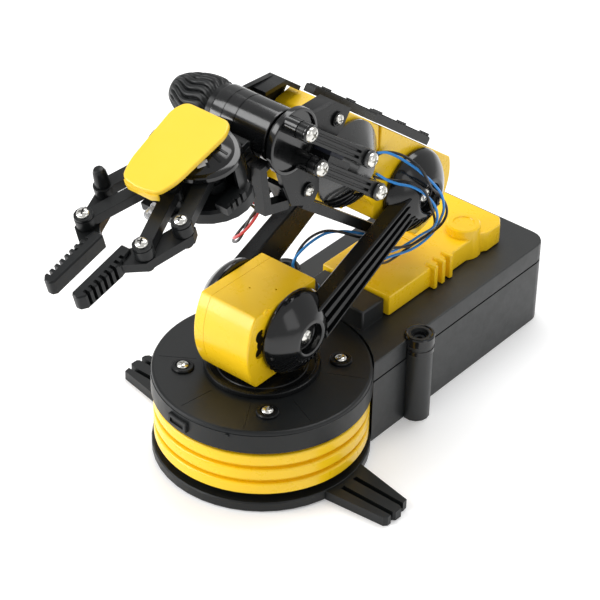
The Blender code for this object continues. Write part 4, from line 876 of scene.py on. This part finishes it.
LEADS = {
    "wrist_lead": (("blue", "black_wire"), ("upper_arm", "forearm"), [
        (15.8, 60.5, 140.2), (16.2, 68.0, 138.0), (20.5, 74.0, 134.5), (27.0, 76.5, 131.0),
        (29.8, 79.5, 126.0),
        (30.6, 86.0, 117.0), (30.4, 92.9, 108.4), (29.4, 98.5, 98.5), (26.5, 101.8, 90.0),
        (21.0, 104.0, 80.0),
        (15.5, 103.5, 72.5), (11.5, 97.0, 67.8), (9.5, 86.0, 67.2), (10.6, 73.0, 71.0), (13.6, 61.0, 78.0),
        (15.2, 53.0, 84.0)]),
    "elbow_lead": (("blue", "black_wire"), ("upper_arm", "forearm"), [
        (15.8, 60.3, 129.1), (17.5, 66.0, 124.8), (21.5, 70.4, 122.8), (26.6, 73.6, 122.4),
        (29.8, 77.4, 119.0),
        (30.6, 82.0, 113.0), (30.4, 87.5, 104.5), (28.6, 92.5, 95.0), (23.8, 97.0, 85.0), (18.0, 97.0, 77.5),
        (14.6, 90.0, 74.4), (13.4, 80.0, 76.5), (14.4, 70.0, 82.4), (15.2, 62.0, 88.8)]),
    "shoulder_lead": (("blue", "black_wire"), ("turntable", "upper_arm"), [
        (15.2, 59.0, 95.4), (12.5, 54.5, 97.2), (7.0, 48.5, 99.6), (2.0, 42.0, 100.4), (-0.8, 34.5, 98.5),
        (-2.2, 28.0, 94.4), (-2.6, 25.2, 89.6), (-0.6, 25.4, 85.2), (3.6, 27.8, 82.4), (8.0, 28.8, 81.2),
        (11.4, 26.4, 80.4), (12.2, 21.9, 80.0)]),
    "base_lead": (("blue", "black_wire"), ("base", "turntable"), [
        (-8.0, 51.1, 53.0), (-8.0, 45.0, 53.2), (-7.2, 37.0, 55.6), (-6.2, 29.0, 59.8), (-6.0, 21.9, 62.0)]),
    "gripper_lead": (("red", "black_wire"), ("forearm", "gripper"), [
        (-6.0, -19.6, 161.6), (-6.2, -17.0, 152.0), (-6.4, -9.0, 140.5), (-7.2, 1.5, 131.5),
        (-9.6, 6.6, 125.2),
        (-13.4, 6.6, 117.6), (-18.4, 7.0, 109.0), (-24.6, 9.6, 101.0), (-30.4, 14.4, 96.0),
        (-33.6, 22.0, 94.0),
        (-34.0, 31.0, 97.0), (-33.8, 39.0, 103.4), (-33.0, 44.5, 111.5), (-29.6, 46.8, 119.0),
        (-24.2, 46.4, 124.6),
        (-20.6, 44.6, 129.0)]),
}
STRAND_RADIUS = 0.66
TWIST_RADIUS = 0.95
TWIST_PITCH = 46.0


def strand(line, phase, radius=STRAND_RADIUS, sides=12):
    """A round wire that winds about the line."""
    travelled = [0.0]
    for a, b in zip(line, line[1:]):
        travelled.append(travelled[-1] + (b - a).length)
    normal = Vector((0.31, 0.2, 0.93))
    vertices, faces = [], []
    for i, point in enumerate(line):
        tangent = (line[min(i + 1, len(line) - 1)] - line[max(i - 1, 0)]).normalized()
        normal = (normal - tangent * normal.dot(tangent)).normalized()
        across = tangent.cross(normal)
        turn = 2 * math.pi * travelled[i] / TWIST_PITCH + phase
        centre = point + (normal * math.cos(turn) + across * math.sin(turn)) * TWIST_RADIUS
        for step in range(sides):
            angle = 2 * math.pi * step / sides
            vertices.append(tuple(centre + (normal * math.cos(angle) + across * math.sin(angle)) * radius))
    for row in range(len(line) - 1):
        for step in range(sides):
            a, b = row * sides + step, row * sides + (step + 1) % sides
            faces.append((a, b, b + sides, a + sides))
    faces.append(tuple(range(sides - 1, -1, -1)))
    faces.append(tuple(range(len(vertices) - sides, len(vertices))))
    return new_object("strand", vertices, faces)


def leads():
    for name, (colours, bodies, points) in LEADS.items():
        line = smooth_line([Vector(p) for p in points], 7)
        for index, colour in enumerate(colours):
            wire = strand(line, math.pi * index)
            wire.name = "%s_%s" % (name, colour)
            wire.data.name = wire.name
            wire.data.materials.append(LOOKS[colour])
            wire.data.shade_smooth()
            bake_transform(wire)
            if index == 0:
                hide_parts(name)


# ---------------------------------------------------------------- stage

def screws():
    for body, heads in SCREWS.items():
        show(gather(heads), "screws_%s" % body, "steel", body, "zinc_steel", smooth=30)


def area_light(name, place, target, size, power):
    light = bpy.data.lights.new(name, "AREA")
    light.shape = "RECTANGLE"
    light.size, light.size_y = size
    light.energy = power
    obj = bpy.data.objects.new(name, light)
    bpy.context.scene.collection.objects.link(obj)
    obj.location = place
    obj.rotation_euler = (Vector(target) - Vector(place)).to_track_quat("-Z", "Y").to_euler()


def stage():
    floor = new_object("floor", [(-4000, -4000, -0.2), (4000, -4000, -0.2), (4000, 4000, -0.2),
                                 (-4000, 4000, -0.2)],
                       [(0, 1, 2, 3)])
    floor.data.materials.append(plastic("pale_floor", (0.93, 0.93, 0.93), 0.6, shade=0.005, scuff=0.02,
                                        depth=0.00001))
    shader = next(n for n in floor.data.materials[0].node_tree.nodes if n.type == "BSDF_PRINCIPLED")
    shader.inputs["Emission Color"].default_value = (1, 1, 1, 1)
    shader.inputs["Emission Strength"].default_value = 0.16
    world = bpy.data.worlds.new("studio")
    world.use_nodes = True
    world.node_tree.nodes["Background"].inputs["Color"].default_value = (1, 1, 1, 1)
    world.node_tree.nodes["Background"].inputs["Strength"].default_value = 0.62
    bpy.context.scene.world = world
    area_light("key_light", (-0.55, -0.75, 1.05), (0, 0.02, 0.08), (0.7, 0.5), 7.0)
    area_light("front_light", (-0.95, -1.0, 0.30), (0, -0.05, 0.12), (0.7, 0.45), 9.0)
    area_light("top_light", (-0.15, 0.45, 1.15), (0, 0.03, 0.08), (0.9, 0.6), 8)
    area_light("side_light", (0.95, -0.1, 0.55), (0, 0.03, 0.08), (0.5, 0.7), 1.2)
    azimuth, elevation, roll = (math.radians(v) for v in (39.21, 35.46, 1.29))
    back = Vector((math.sin(azimuth) * math.cos(elevation), -math.cos(azimuth) * math.cos(elevation),
                   math.sin(elevation)))
    right = Vector((math.cos(azimuth), math.sin(azimuth), 0))
    up = back.cross(right)
    across = right * math.cos(roll) + up * math.sin(roll)
    upright = up * math.cos(roll) - right * math.sin(roll)
    matrix = Matrix((across, upright, back)).transposed().to_4x4()
    matrix.translation = Vector((584.09, -688.87, 726.80)) * MM
    camera = bpy.data.cameras.new("camera")
    camera.sensor_width = 36.0
    camera.lens = 144.72
    eye = bpy.data.objects.new("camera", camera)
    bpy.context.scene.collection.objects.link(eye)
    eye.matrix_world = matrix
    bpy.context.scene.camera = eye
    bpy.context.scene.view_settings.view_transform = "Standard"


stage()
base()
turntable()
shoulder()
upper_arm()
forearm()
wrist_linkage()
wrist_drum()
fluted_barrel()
cover()
gripper()
screws()
leads()
